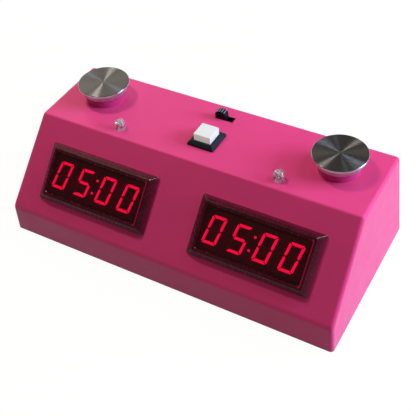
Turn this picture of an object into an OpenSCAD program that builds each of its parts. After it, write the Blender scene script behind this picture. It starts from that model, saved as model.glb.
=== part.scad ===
// Digital chess clock: a sloping plastic case with two displays, two player buttons,
// two lamps, a mode button and a power slide switch.
// The origin is on the table, under the middle of the base; +Y points to the back.

/* [Case] */
// Width of the case at its base
base_w = 180; // [170:1:220]
// Depth of the case at its base
base_d = 88; // [84:1:110]
// Height of the case above its feet
case_h = 53; // [50:1:64]
// Height of the upright front lip
lip_h = 16; // [14:0.5:18]
// Distance that the front slope runs back
slope_run = 35; // [34:0.5:38]
// Distance that the back leans in from base to top
back_lean = 8.4; // [4:0.2:9]
// Draft of the two sides in degrees
side_draft = 3.1; // [0:0.1:4]
// Wall thickness of the case
wall = 2.2; // [1.8:0.1:2.6]
// Radius of the outer edges
edge_r = 2; // [1:0.1:2.4]
// Radius of the edge between the lip and the slope
lip_edge_r = 5; // [3:0.2:7]

/* [Base] */
// Height of the feet below the case
foot_h = 1.5; // [1:0.1:3]
// Diameter of a foot
foot_d = 10; // [8:0.5:12]
// Distance from a foot's centre to the front or back edge of the plate
foot_inset = 7.1; // [6.6:0.1:8]
// Distance from a foot's centre to the side edge of the plate
foot_side = 21.4; // [16:0.2:24]
// Depth of a foot's seat in the plate
foot_seat = 0.5; // [0.3:0.1:0.8]
// Thickness of the base plate
plate_t = 2.5; // [2.4:0.1:3]
// Gap between the plate and the case walls
plate_gap = 0.25; // [0.15:0.05:0.5]
// Radius of the four posts that hold the plate
plate_post_r = 3.5; // [3.2:0.1:4]
// Height of those posts
plate_post_h = 22; // [16:1:26]

/* [Displays] */
// Height of a digit
digit_h = 13.9; // [12:0.1:15]
// Width of a digit
digit_w = 7.6; // [6.5:0.1:8.4]
// Distance between digits
digit_pitch = 12.95; // [12.4:0.05:13.4]
// Lean of the digits in degrees
digit_slant = 10; // [0:1:12]
// Width of a segment
segment_t = 1.35; // [1:0.05:1.6]
// Gap between two segments
segment_gap = 0.35; // [0.2:0.05:0.6]
// Depth of a segment in its module
segment_depth = 0.5; // [0.3:0.1:0.8]
// Gap between a segment and its pocket
segment_fit = 0.02; // [0.01:0.01:0.04]
// Diameter of a colon dot
dot_d = 1.3; // [1:0.1:1.8]
// Distance between the two colon dots
dot_gap = 6.7; // [5:0.1:8]
// Offset of the digits from the middle of their module
digit_shift = -0.6; // [-0.8:0.1:0.8]
// Face beyond the digits at top and bottom together
module_margin = 5.1; // [4:0.1:6]
// Face beyond the digits at left and right together
module_side = 1.4; // [1.3:0.1:3]
// Thickness of a display module
module_t = 8; // [7:0.1:8.6]
// Gap between a module's face and its filter
face_gap = 0.15; // [0.05:0.05:0.4]
// Distance up the slope to the middle of a display
bezel_up = 24; // [23:0.2:26]
// Gap between the two bezels
bezel_gap = 24.2; // [22:0.2:30]
// Height of a bezel above the slope
bezel_proud = 4; // [3.9:0.1:5]
// Height of a bezel's upright foot
bezel_foot = 0.8; // [0.4:0.1:1.2]
// Inward lean of a bezel's left and right sides
bezel_lean_w = 3.4; // [2:0.1:4]
// Inward lean of a bezel's upper and lower sides
bezel_lean_h = 2.55; // [2:0.1:3.2]
// Width of a bezel's flat rim
bezel_rim = 1.6; // [1:0.1:2]
// Radius of a bezel's corners
bezel_r = 1; // [0.5:0.1:2]
// Width of the ledge under a filter
filter_ledge = 0.75; // [0.5:0.05:1]
// Thickness of a filter
filter_t = 1.2; // [0.8:0.1:1.5]
// Depth of a filter below the rim
filter_drop = 0.5; // [0.2:0.1:0.6]
// Thickness of the bezel's collar in the case
collar_t = 1.5; // [1.2:0.1:1.8]
// Depth of the collar behind the slope's face
collar_depth = 3.8; // [3.6:0.1:4.6]

/* [Player buttons] */
// Diameter of a cap
cap_d = 26.2; // [22:0.2:28]
// Height of a cap above the case
cap_rise = 9.3; // [8.5:0.1:12]
// Height of a cap's upright rim
cap_rim = 1; // [0.8:0.1:1.6]
// Height of the taper below the rim
cap_taper_h = 3.5; // [2.5:0.1:4]
// Inward step of that taper
cap_taper = 1.8; // [1:0.1:2]
// Chamfer on a cap's top edge
cap_chamfer = 0.4; // [0.2:0.1:0.8]
// Diameter of a cap's stem
stem_d = 15.6; // [14.4:0.2:16]
// Diameter of the boss that the stem goes through
boss_d = 20.4; // [19.2:0.2:22]
// Travel of a player button
button_travel = 1; // [0.6:0.1:1.4]
// Distance from a button to the side edge of the top
button_inset = 22.3; // [20:0.2:28]
// Distance from a button to the back edge of the top
button_back = 19.6; // [18.6:0.2:22]
// Radial gap around a stem in its boss
stem_gap = 0.3; // [0.15:0.05:0.5]
// Width of the plunger's flange beyond the stem hole
flange_lip = 3.2; // [3:0.1:4.4]
// Thickness of the plunger's flange
flange_t = 1.6; // [1.2:0.1:2]
// Outer radius of the plunger's skirt
skirt_r = 7; // [6.4:0.1:7.4]
// Wall of the plunger's skirt
skirt_t = 1.4; // [1:0.1:1.6]
// Height of the plunger's skirt
skirt_h = 5.6; // [5:0.1:6]
// Wall of the guide tube
guide_t = 1.6; // [1.2:0.1:2]
// Height of the guide tube
guide_h = 7; // [6:0.1:7.4]
// Radial gap between skirt and guide
guide_gap = 0.2; // [0.1:0.05:0.4]
// Wire diameter of a button spring
spring_wire = 0.9; // [0.6:0.1:1]
// Turns of a button spring
spring_turns = 4; // [3:0.5:5]
// Width of a button's switch
switch_w = 6.4; // [6:0.1:7]
// Height of a button's switch
switch_h = 4; // [3.4:0.1:4.4]

/* [Lamps] */
// Diameter of a lamp
lamp_d = 5; // [3:0.5:8]
// Height of a lamp above the case
lamp_rise = 5.5; // [4:0.1:7]
// Distance from a lamp to the front edge of the top
lamp_inset = 6.2; // [5.6:0.1:8]
// Extra radius of a lamp's flange
lamp_flange = 0.4; // [0.3:0.1:0.8]
// Thickness of a lamp's flange
lamp_flange_t = 1; // [0.8:0.1:1.4]
// Side of a lamp's square lead
lead_w = 0.5; // [0.4:0.05:0.6]
// Distance between a lamp's leads
lead_pitch = 2.54; // [2:0.02:3]

/* [Mode button] */
// Side of the square bezel
mode_w = 14; // [13.6:0.1:16]
// Height of the bezel above the case
mode_rise = 2.5; // [2:0.1:3.2]
// Height of the bezel's upright edge
mode_edge = 1.2; // [0.8:0.1:1.6]
// Side of the square cap
mode_cap_w = 9; // [8.4:0.1:9.2]
// Height of the cap above the case
mode_cap_rise = 5.9; // [5:0.1:6.4]
// Travel of the mode button
mode_travel = 2; // [1:0.1:2.4]
// Gap around the cap in its bezel
mode_gap = 0.2; // [0.15:0.05:0.3]
// Wall of the button's housing at its chamber
mode_wall = 0.8; // [0.7:0.05:1]
// Step of the flange that keeps the cap in
mode_flange = 0.4; // [0.35:0.05:0.6]
// Distance from the button to the front edge of the top
mode_front = 16.4; // [15.4:0.2:17.6]
// Wire diameter of the button's spring
mode_spring_wire = 0.5; // [0.4:0.05:0.6]
// Turns of the button's spring
mode_spring_turns = 7; // [5:0.5:8]

/* [Power switch] */
// Length of the knob along its travel
knob_l = 5.6; // [4.6:0.1:6]
// Depth of the knob across its travel
knob_d = 3.4; // [3:0.1:4]
// Height of the knob above the case
knob_rise = 4.3; // [3.6:0.1:5.4]
// Height of the knob's straight shoulder above the case
knob_shoulder = 2.6; // [1.5:0.1:3]
// Travel of the knob
knob_travel = 3.8; // [2.5:0.1:4.2]
// Gap around the knob in its slot
knob_gap = 0.2; // [0.15:0.05:0.3]
// Number of grip ribs on the knob
knob_ribs = 4; // [3:1:4]
// Width of a grip rib
knob_rib_w = 0.45; // [0.3:0.05:0.6]
// Distance from the switch to the back edge of the top
power_back = 9.4; // [9:0.1:10.4]
// Wall of the switch frame
power_wall = 0.8; // [0.6:0.05:1]
// Height of the switch frame
power_h = 8; // [7.4:0.1:9]

/* [Boards] */
// Thickness of the circuit boards
board_t = 1.6; // [1.2:0.1:2]
// Distance from the inner top to the control board
board_drop = 12; // [11.6:0.1:12.4]
// Radius of the board posts
board_post_r = 3; // [2.6:0.1:3.2]
// Margin of the display board beyond its posts
board_margin = 4; // [3.4:0.1:4.5]

/* [Battery bay] */
// Diameter of a cell
cell_d = 14.5; // [13.5:0.1:14.6]
// Length of a cell
cell_l = 50.5; // [44:0.5:51]
// Room at each end of a row of cells
cell_end = 2.5; // [2:0.1:3]
// Gap between a cell and the tray
cell_gap = 0.4; // [0.2:0.05:0.6]
// Wall thickness of the tray
tray_t = 1.4; // [1.2:0.1:1.8]
// Distance of the bay behind the middle of the base
bay_y = 10; // [8:0.2:11]
// Thickness of the battery door
door_t = 2; // [1.6:0.1:2.4]
// Gap around the battery door
door_gap = 0.4; // [0.3:0.05:0.6]
// Diameter of the door's hinge trunnions
trunnion_d = 1.4; // [1.2:0.05:1.5]

/* [Hardware] */
// Shaft diameter of the screws
screw_d = 2.2; // [1.8:0.1:2.4]
// Head diameter of the screws
screw_head_d = 4.2; // [3.6:0.1:4.6]
// Head height of the screws
screw_head_h = 1.4; // [1:0.1:1.6]
// Radial clearance of a screw in a hole
screw_gap = 0.08; // [0.05:0.01:0.15]

/* [Hidden] */
$fn = 64;

// Sides of a coiled wire
coil_sides = 6;
// Overshoot of a cut beyond the face it opens
over = 0.5;
// Gap that a part keeps from its stop at rest
rest_gap = 0.1;

// Case outline, seen from the right: Y and Z
top_z = foot_h + case_h;
lip_z = foot_h + lip_h;
front_y = -base_d/2;
back_y = base_d/2;
top_front_y = front_y + slope_run;
top_back_y = back_y - back_lean;
inner_top = top_z - wall;
slope_angle = atan2(case_h - lip_h, slope_run);
ball_sides = 32;
lip_steps = 4;

function unit(v) = v/norm(v);
function half_w(z) = base_w/2 - (z - foot_h)*tan(side_draft);
function back_at(z) = back_y - back_lean*(z - foot_h)/case_h;
function profile(bottom) = [
    [front_y, bottom], [back_at(bottom), bottom],
    [top_back_y, top_z], [top_front_y, top_z], [front_y, lip_z],
];
function left_normal(a, b) = let (u = unit(b - a)) [-u[1], u[0]];
function inset_corner(a, b, c, d) =
    let (m = left_normal(a, b), n = left_normal(b, c))
    b + d*(m + n)/(1 + m*n);
function inset(points, d) =
    let (n = len(points))
    [for (i = [0:n - 1]) inset_corner(points[(i + n - 1)%n], points[i], points[(i + 1)%n], d)];

// Base plate and the posts that hold it
plate_z = foot_h + plate_t;
plate_hw = half_w(plate_z) - wall/cos(side_draft) - plate_gap;
plate_front = front_y + wall + plate_gap;
plate_back = back_at(plate_z) - wall/cos(atan2(back_lean, case_h)) - plate_gap;
plate_post_gap = 0.55;
plate_post_edge = plate_post_r + plate_post_gap;
plate_posts = [for (x = [-1, 1]*(plate_hw - plate_post_edge),
    y = [plate_front + plate_post_edge, plate_back - plate_post_edge]) [x, y]];
feet = [for (x = [-1, 1]*(plate_hw - foot_side),
    y = [plate_front + foot_inset, plate_back - foot_inset]) [x, y]];

// Screws
screw_r = screw_d/2;
screw_hole_r = screw_r + screw_gap;
screw_head_gap = 0.3;
plate_screw_bite = 8;
board_screw_bite = 2.6;

// Displays, in the slope's own frame: X along the case, Y up the slope, Z outward
module_gap = 0.3;
module_w = 3*digit_pitch + digit_w + digit_h*tan(digit_slant) + module_side;
module_h = digit_h + module_margin;
window_w = module_w + 2*module_gap;
window_h = module_h + 2*module_gap;
pocket_w = window_w + 2*filter_ledge;
pocket_h = window_h + 2*filter_ledge;
bezel_top_w = pocket_w + 2*bezel_rim;
bezel_top_h = pocket_h + 2*bezel_rim;
bezel_w = bezel_top_w + 2*bezel_lean_w;
bezel_h = bezel_top_h + 2*bezel_lean_h;
display_x = (bezel_gap + bezel_w)/2;
collar_w = window_w + 2*collar_t;
collar_h = window_h + 2*collar_t;
collar_gap = 0.15;
lug_l = 8;
lug_w = 0.9;
filter_gap = 0.1;
filter_z = bezel_proud - filter_drop - filter_t;
module_rise = filter_z - face_gap;
module_back = module_rise - module_t;
tip_cut = 0.3;
display_board_z = module_back - board_t;
display_post_gap = 1.2;
display_post_off = board_post_r + display_post_gap;
display_post_us = [for (s = [-1, 1], p = [-1, 1])
    s*(display_x + p*(collar_w/2 + display_post_off))];
display_post_in = 0.3;
display_post_v = collar_h/2 - display_post_in;
display_board_hw = display_x + collar_w/2 + display_post_off + board_margin;
display_board_hh = display_post_v + board_margin;
pin_rows = 7.62;
pin_pitch = 2.54;
pins_per_row = 6;
pin_w = 0.5;
pin_proud = 2;
pin_hole_r = 0.42;

// Player buttons
button_x = half_w(top_z) - button_inset;
button_y = top_back_y - button_back;
cap_top = top_z + cap_rise;
cap_r = cap_d/2;
cap_under = cap_top - cap_rim - cap_taper_h;
stem_r = stem_d/2;
stem_hole_r = stem_r + stem_gap;
boss_gap = 0.2;
boss_top = cap_under - button_travel - boss_gap;
flange_r = stem_hole_r + flange_lip;
flange_top = inner_top - rest_gap;
flange_z = flange_top - flange_t;
cap_screw_bite = 4;
board_z = inner_top - board_drop;
board_under = board_z - board_t;
guide_inner = skirt_r + guide_gap;
guide_outer = guide_inner + guide_t;
spring_gap = 0.95;
spring_r = guide_outer + spring_gap + spring_wire/2;
guide_flange_lip = 0.85;
guide_flange_r = spring_r + spring_wire/2 + guide_flange_lip;
guide_flange_t = 1.2;
spring_z = board_z + guide_flange_t;
actuator_r = 1.7;
actuator_gap = 0.15;
switch_floor = 0.6;
actuator_z = board_z + switch_floor + 2*rest_gap + button_travel;
actuator_top = flange_z - screw_head_h - rest_gap;

// Lamps
lamp_x = display_x;
lamp_y = top_front_y + lamp_inset;
lamp_r = lamp_d/2;
lamp_gap = 0.1;
lamp_flange_z = inner_top - lamp_flange_t;
lead_proud = 1.5;
lead_hole_r = 0.45;

// Mode button
mode_y = top_front_y + mode_front;
mode_shaft_w = mode_cap_w + 2*mode_gap;
mode_flange_w = mode_cap_w + 2*mode_flange;
mode_chamber_w = mode_flange_w + 2*mode_gap;
mode_body_w = mode_chamber_w + 2*mode_wall;
mode_rim = 0.8;
mode_cut_gap = 0.2;
mode_depth = 4.5;
mode_ceiling = top_z - mode_depth;
mode_flange_t = 2.2;
mode_floor = mode_ceiling - mode_flange_t - mode_travel - 2*rest_gap;
mode_cap_wall = 1;
mode_cap_top_t = 2;
mode_post_r = 1.6;
mode_post_h = 5;
mode_spring_gap = 0.75;
mode_spring_r = mode_post_r + mode_spring_gap + mode_spring_wire/2;
mode_spring_top = top_z + mode_cap_rise - mode_cap_top_t;
mode_lug = 0.5;
mode_pin = 3.5;
terminal_w = 0.6;
terminal_hole_r = 0.5;

// Power switch
power_y = top_back_y - power_back;
slot_l = knob_l + knob_travel + 2*knob_gap;
slot_d = knob_d + 2*knob_gap;
knob_foot_end = 1.3;
knob_foot_side = 0.8;
knob_foot_l = knob_l + 2*knob_foot_end;
knob_foot_d = knob_d + 2*knob_foot_side;
power_hollow_l = knob_foot_l + knob_travel + 2*knob_gap;
power_hollow_d = knob_foot_d + 2*knob_gap;
power_l = power_hollow_l + 2*power_wall;
power_d = power_hollow_d + 2*power_wall;
power_floor = 2;
power_roof = 1;
knob_x = -knob_travel/2;
power_pitch = 4.7;

// Control board
board_front_edge = 4;
board_back_edge = 5;
board_side_edge = 2;
board_front = lamp_y - board_front_edge;
board_back = power_y + board_back_edge;
board_hw = button_x + guide_flange_r + board_side_edge;
control_post_step = 1;
front_post_x = display_x - 16;
control_posts = [[-front_post_x, lamp_y + control_post_step], [front_post_x, lamp_y + control_post_step],
    [-display_x, power_y + control_post_step], [display_x, power_y + control_post_step]];

// Pieces under the control board, with their places on it
chip_at = [-26, mode_y + 6];
chip_w = 10;
chip_t = 1.6;
chip_legs = 8;
chip_leg_pitch = 1.1;
crystal_at = [-42, mode_y + 6];
crystal_l = 11;
crystal_d = 4.6;
crystal_h = 3.5;
capacitor_at = [22, mode_y + 6];
capacitor_d = 6.3;
capacitor_h = 7;
buzzer_at = [33, mode_y + 5];
buzzer_d = 12;
buzzer_h = 7;
buzzer_hole_d = 2;

// Ribbon between the two boards
ribbon_w = 20;
ribbon_t = 1;
header_l = ribbon_w + 2;
header_d = 5;
header_h = 3;
header_y = lamp_y + 0.6;
ribbon_reach = 8;
ribbon_rise = 11;
ribbon_steps = 14;

// Battery bay
cell_pitch = cell_d + 2*cell_gap;
bay_l = 2*(cell_l + cell_end);
bay_d = 2*cell_pitch;
bay_hl = bay_l/2;
bay_front = bay_y - bay_d/2;
bay_back = bay_y + bay_d/2;
cell_z = plate_z + cell_gap + cell_d/2;
bay_top = cell_z + cell_d/2 + cell_gap;
nub_r = 2.7;
nub_h = 1.3;
contact_t = 0.4;
contact_w = cell_d - 3;
contact_r = 3.5;
tray_ear = 8;
tray_ear_t = 2;
tray_ear_y = 10;
tray_screw_bite = 1.8;
lead_d = 1.5;
lead_sides = 8;
lead_steps = 10;
lead_reach = 9;
lead_rise = 12;
lead_slot_w = 2.2;

// Battery door and its hinge
barrel_r = plate_t/2;
hinge_gap = 0.3;
hinge_y = bay_front + barrel_r + hinge_gap;
hinge_z = foot_h + barrel_r;
trunnion_r = trunnion_d/2;
trunnion_gap = 0.08;
trunnion_l = 2.2;
door_hl = bay_hl - door_gap;
door_back = bay_back - door_gap;
finger_r = 9;
finger_depth = 0.8;

// Paths, and rings of points square to them
function bezier(p, t) =
    pow(1 - t, 3)*p[0] + 3*t*pow(1 - t, 2)*p[1] + 3*t*t*(1 - t)*p[2] + pow(t, 3)*p[3];
function bezier_way(p, t) =
    unit(pow(1 - t, 2)*(p[1] - p[0]) + 2*t*(1 - t)*(p[2] - p[1]) + t*t*(p[3] - p[2]));
function helix(r, z0, z1, turns) =
    let (n = ceil(8*turns))
    [for (i = [0:n]) [r*cos(360*turns*i/n), r*sin(360*turns*i/n), z0 + (z1 - z0)*i/n]];
function helix_way(p, pitch) = unit([-p[1], p[0], pitch/(2*PI)]);
function ring(p, way, ref, r, sides) =
    let (s = unit(cross(way, ref)), n = cross(s, way))
    [for (k = [0:sides - 1]) p + r*(cos(360*k/sides)*s + sin(360*k/sides)*n)];
// Least gap between points of a coil that lie half a turn or more apart
function coil_gap(path, wire) =
    min([for (i = [0:len(path) - 1], j = [i + 4:1:len(path) - 1]) norm(path[j] - path[i])]) - wire;

// Seven segments of a digit, before it leans
function seg_a(w, h, t, q, c) = [
    [-w/2 + q + 2*c, h/2], [w/2 - q - 2*c, h/2], [w/2 - q - c, h/2 - c],
    [w/2 - t - q, h/2 - t], [-w/2 + t + q, h/2 - t], [-w/2 + q + c, h/2 - c],
];
function seg_f(w, h, t, q, c) = [
    [-w/2 + c, h/2 - q - c], [-w/2 + t, h/2 - t - q], [-w/2 + t, t/2 + q],
    [-w/2 + t/2, q], [-w/2, q + c], [-w/2, h/2 - q - 2*c],
];
function seg_g(w, t, q) = [
    [-w/2 + t/2 + q, 0], [-w/2 + t + q, t/2], [w/2 - t - q, t/2],
    [w/2 - t/2 - q, 0], [w/2 - t - q, -t/2], [-w/2 + t + q, -t/2],
];
function flip(points, x, y) = [for (p = points) [x*p[0], y*p[1]]];
function lean(points) = [for (p = points) [p[0] + p[1]*tan(digit_slant), p[1]]];
function segment(name, grow) =
    let (w = digit_w + 2*grow, h = digit_h + 2*grow, t = segment_t + 2*grow,
        q = segment_gap/sqrt(2) - 2*grow,
        a = seg_a(w, h, t, q, tip_cut),
        f = seg_f(w, h, t, q, tip_cut))
    lean(name == "a" ? a
        : name == "b" ? flip(f, -1, 1)
        : name == "c" ? flip(f, -1, -1)
        : name == "d" ? flip(a, 1, -1)
        : name == "e" ? flip(f, 1, -1)
        : name == "f" ? f
        : seg_g(w, t, q));
lit_digits = ["abcdef", "afgcd", "abcdef", "abcdef"];
dark_digits = ["g", "be", "g", "g"];
function digit_x(i) = digit_shift + (i - 1.5)*digit_pitch;

// Shared shapes
module on_slope() {
    translate([0, front_y, lip_z])
        rotate([slope_angle, 0, 0])
            children();
}
module on_display(side) {
    on_slope()
        translate([side*display_x, bezel_up, 0])
            children();
}
module on_button(side) {
    translate([side*button_x, button_y, 0])
        children();
}
module block(size, at) {
    translate(at - [size[0], size[1], 0]/2)
        cube(size);
}
module rod(r, z0, z1) {
    translate([0, 0, z0])
        cylinder(r = r, h = z1 - z0);
}
module at_each(points) {
    for (p = points)
        translate([p[0], p[1], 0])
            children();
}
module frustum(w0, w1, h) {
    outline = [[-w0/2, 0], [w0/2, 0], [w1/2, h], [-w1/2, h]];
    intersection() {
        rotate([90, 0, 0])
            linear_extrude(w0 + w1, center = true)
                polygon(outline);
        rotate([90, 0, 90])
            linear_extrude(w0 + w1, center = true)
                polygon(outline);
    }
}
module rounded_slab(w, d, r, h) {
    linear_extrude(h)
        union() {
            square([w - 2*r, d], center = true);
            square([w, d - 2*r], center = true);
            for (x = [-1, 1]*(w/2 - r), y = [-1, 1]*(d/2 - r))
                translate([x, y])
                    circle(r, $fn = ball_sides);
        }
}
module skin(rings) {
    n = len(rings[0]);
    m = len(rings);
    first = [for (k = [1:n - 2]) [0, k + 1, k]];
    sides = [for (i = [0:m - 2], k = [0:n - 1])
        let (a = i*n + k, b = i*n + (k + 1)%n)
        each [[a, b, a + n], [b, b + n, a + n]]];
    last = [for (k = [1:n - 2]) [0, k, k + 1] + [1, 1, 1]*(m - 1)*n];
    polyhedron(points = [for (ring = rings, p = ring) p], faces = concat(first, sides, last));
}
module tray_ear_places() {
    for (x = [-1, 1]*(bay_hl + tray_t + tray_ear/2), s = [-1, 1])
        translate([x, bay_y + s*tray_ear_y, 0])
            children();
}
module coil(path, pitch, wire) {
    skin([for (p = path) ring(p, helix_way(p, pitch), [0, 0, 1], wire/2, coil_sides)]);
}
module screw(bite) {
    rod(screw_head_d/2, -screw_head_h, 0);
    rod(screw_r, 0, bite);
}

// Case shell and base
module case_block() {
    bottom = foot_h - 3*edge_r;
    corners = inset(profile(bottom), edge_r);
    lip_centre = inset(profile(bottom), lip_edge_r)[4];
    lip_fan = [for (i = [0:lip_steps])
        let (a = 180 - i*(90 - slope_angle)/lip_steps)
        lip_centre + max(lip_edge_r - edge_r, 0)*[cos(a), sin(a)]];
    difference() {
        hull()
            for (side = [-1, 1], c = concat([for (i = [0:3]) corners[i]], lip_fan))
                translate([side*(half_w(c[1]) - edge_r/cos(side_draft)), c[0], c[1]])
                    sphere(edge_r, $fn = ball_sides);
        block([2*base_w, 2*base_d, base_d], [0, 0, foot_h - base_d]);
    }
}
module case_cavity() {
    bottom = foot_h - 3*wall;
    side_wall = wall/cos(side_draft);
    w0 = half_w(bottom) - side_wall;
    w1 = half_w(top_z) - side_wall;
    intersection() {
        rotate([90, 0, 90])
            linear_extrude(base_w, center = true)
                polygon(inset(profile(bottom), wall));
        rotate([90, 0, 0])
            linear_extrude(2*base_d, center = true)
                polygon([[-w0, bottom], [w0, bottom], [w1, top_z], [-w1, top_z]]);
    }
}
module case_posts() {
    at_each(plate_posts)
        rod(plate_post_r, plate_z, plate_z + plate_post_h);
    at_each(control_posts)
        rod(board_post_r, board_z, top_z);
    on_slope()
        for (u = display_post_us, s = [-1, 1])
            translate([u, bezel_up + s*display_post_v, 0])
                rod(board_post_r, module_back, 0);
}
module case_holes() {
    at_each(plate_posts)
        rod(screw_hole_r, plate_z - over, plate_z + plate_screw_bite + over);
    at_each(control_posts)
        rod(screw_hole_r, board_z - over, board_z + board_screw_bite + over);
    on_slope()
        for (u = display_post_us, s = [-1, 1])
            translate([u, bezel_up + s*display_post_v, 0])
                rod(screw_hole_r, module_back - over, module_back + board_screw_bite + over);
    for (side = [-1, 1]) {
        on_display(side)
            block([collar_w + 2*collar_gap, collar_h + 2*collar_gap, 4*wall], [0, 0, -2*wall]);
        on_button(side)
            rod(stem_hole_r, inner_top - over, boss_top + over);
        translate([side*lamp_x, lamp_y, 0])
            rod(lamp_r + lamp_gap, inner_top - over, top_z + over);
    }
    mode_cut = mode_body_w + 2*mode_cut_gap;
    block([mode_cut, mode_cut, wall + 2*over], [0, mode_y, inner_top - over]);
    block([slot_l, slot_d, wall + 2*over], [0, power_y, inner_top - over]);
}
module case_shell() {
    color([0.89, 0.30, 0.54])
        difference() {
            union() {
                case_block();
                for (s = [-1, 1])
                    on_button(s)
                        rod(boss_d/2, inner_top, boss_top);
            }
            difference() {
                case_cavity();
                case_posts();
            }
            case_holes();
        }
}
module base_plate() {
    color([0.70, 0.22, 0.42])
        difference() {
            translate([-plate_hw, plate_front, foot_h])
                cube([2*plate_hw, plate_back - plate_front, plate_t]);
            block([bay_l, bay_d, plate_t + 2*over], [0, bay_y, foot_h - over]);
            translate([0, hinge_y, hinge_z])
                rotate([0, 90, 0])
                    cylinder(r = trunnion_r + trunnion_gap, h = 2*(door_hl + trunnion_l + trunnion_gap),
                        center = true);
            at_each(feet)
                rod(foot_d/2 + rest_gap, foot_h - over, foot_h + foot_seat);
            at_each(plate_posts) {
                rod(screw_hole_r, foot_h - over, plate_z + over);
                rod(screw_head_d/2 + screw_head_gap, foot_h - over, foot_h + screw_head_h + rest_gap);
            }
            tray_ear_places()
                rod(screw_hole_r, plate_z - tray_screw_bite - rest_gap, plate_z + over);
        }
}
module base_screws() {
    color("silver")
        at_each(plate_posts)
            translate([0, 0, foot_h + screw_head_h + rest_gap])
                screw(plate_z - foot_h - screw_head_h - rest_gap + plate_screw_bite);
}
module rubber_feet() {
    color([0.12, 0.12, 0.12])
        at_each(feet)
            rotate_extrude()
                polygon([[0, 0], [foot_d/2 - foot_h/3, 0], [foot_d/2, foot_h/3],
                    [foot_d/2, foot_h + foot_seat], [0, foot_h + foot_seat]]);
}

// Displays
module bezel(side) {
    color([0.22, 0.05, 0.09])
        on_display(side)
            difference() {
                union() {
                    hull() {
                        rounded_slab(bezel_w, bezel_h, bezel_r, bezel_foot);
                        translate([0, 0, bezel_proud - rest_gap])
                            rounded_slab(bezel_top_w, bezel_top_h, bezel_r, rest_gap);
                    }
                    block([collar_w, collar_h, collar_depth + bezel_foot], [0, 0, -collar_depth]);
                    block([collar_w + 2*(collar_gap + lug_w), lug_l, collar_depth - wall - rest_gap],
                        [0, 0, -collar_depth]);
                }
                block([window_w, window_h, collar_depth + bezel_proud + 2*over],
                    [0, 0, -collar_depth - over]);
                block([pocket_w, pocket_h, bezel_proud], [0, 0, filter_z]);
            }
}
module filter(side) {
    color([0.30, 0.03, 0.07, 0.6])
        on_display(side)
            block([pocket_w - 2*filter_gap, pocket_h - 2*filter_gap, filter_t], [0, 0, filter_z]);
}
module digit_segments(digits, grow = 0) {
    translate([0, 0, module_rise - segment_depth - grow])
        for (i = [0:3], name = digits[i])
            translate([digit_x(i), 0, 0])
                linear_extrude(segment_depth + 2*grow)
                    polygon(segment(name, grow));
}
module colon(grow = 0) {
    for (s = [-1, 1])
        translate([digit_shift + s*dot_gap/2*tan(digit_slant), s*dot_gap/2, 0])
            rod(dot_d/2 + grow, module_rise - segment_depth - grow, module_rise + grow);
}
module lit_segments(side) {
    color([1, 0, 0.24])
        on_display(side) {
            digit_segments(lit_digits);
            colon();
        }
}
module dark_segments(side) {
    color([0.25, 0.05, 0.08])
        on_display(side)
            digit_segments(dark_digits);
}
module display_module(side) {
    color([0.14, 0.06, 0.08])
        on_display(side)
            difference() {
                block([module_w, module_h, module_t], [0, 0, module_back]);
                digit_segments(lit_digits, segment_fit);
                digit_segments(dark_digits, segment_fit);
                colon(segment_fit);
            }
}
module at_display_pins() {
    for (side = [-1, 1])
        on_display(side)
            for (i = [0:pins_per_row - 1], s = [-1, 1])
                translate([(i - (pins_per_row - 1)/2)*pin_pitch, s*pin_rows, 0])
                    children();
}
module display_pins() {
    color("gold")
        at_display_pins()
            block([pin_w, pin_w, board_t + pin_proud], [0, 0, display_board_z - pin_proud]);
}
module display_board() {
    color([0.05, 0.32, 0.18])
        difference() {
            on_slope()
                block([2*display_board_hw, 2*display_board_hh, board_t], [0, bezel_up, display_board_z]);
            at_display_pins()
                rod(pin_hole_r, display_board_z - over, module_back + over);
            on_slope()
                for (u = display_post_us, s = [-1, 1])
                    translate([u, bezel_up + s*display_post_v, 0])
                        rod(screw_hole_r, display_board_z - over, module_back + over);
        }
}
module display_board_screws() {
    color("silver")
        on_slope()
            for (u = display_post_us, s = [-1, 1])
                translate([u, bezel_up + s*display_post_v, display_board_z])
                    screw(board_t + board_screw_bite);
}

// Control board and what it carries
module lamp_lead_places() {
    for (side = [-1, 1], s = [-1, 1])
        translate([side*lamp_x + s*lead_pitch/2, lamp_y, 0])
            children();
}
module mode_pin_places() {
    for (x = [-1, 1]*mode_pin, y = [-1, 1]*mode_pin)
        translate([x, mode_y + y, 0])
            children();
}
module power_pin_places() {
    for (i = [-1:1])
        translate([i*power_pitch, power_y, 0])
            children();
}
module control_board() {
    color([0.05, 0.32, 0.18])
        difference() {
            translate([-board_hw, board_front, board_under])
                cube([2*board_hw, board_back - board_front, board_t]);
            at_each(control_posts)
                rod(screw_hole_r, board_under - over, board_z + over);
            lamp_lead_places()
                rod(lead_hole_r, board_under - over, board_z + over);
            mode_pin_places()
                rod(terminal_hole_r, board_under - over, board_z + over);
            power_pin_places()
                rod(terminal_hole_r, board_under - over, board_z + over);
        }
}
module control_board_screws() {
    color("silver")
        at_each(control_posts)
            translate([0, 0, board_under])
                screw(board_t + board_screw_bite);
}
module lamp(side) {
    color([0.92, 0.94, 0.96, 0.6])
        translate([side*lamp_x, lamp_y, 0])
            rotate_extrude()
                intersection() {
                    union() {
                        translate([0, lamp_flange_z])
                            square([lamp_r + lamp_flange, lamp_flange_t]);
                        translate([0, lamp_flange_z])
                            square([lamp_r, lamp_flange_t + wall + lamp_rise - lamp_r]);
                        translate([0, top_z + lamp_rise - lamp_r])
                            circle(lamp_r);
                    }
                    translate([0, lamp_flange_z])
                        square([lamp_d, lamp_flange_t + wall + lamp_rise]);
                }
}
module lamp_leads() {
    color("silver")
        lamp_lead_places()
            block([lead_w, lead_w, lamp_flange_z - board_under + lead_proud],
                [0, 0, board_under - lead_proud]);
}

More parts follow.
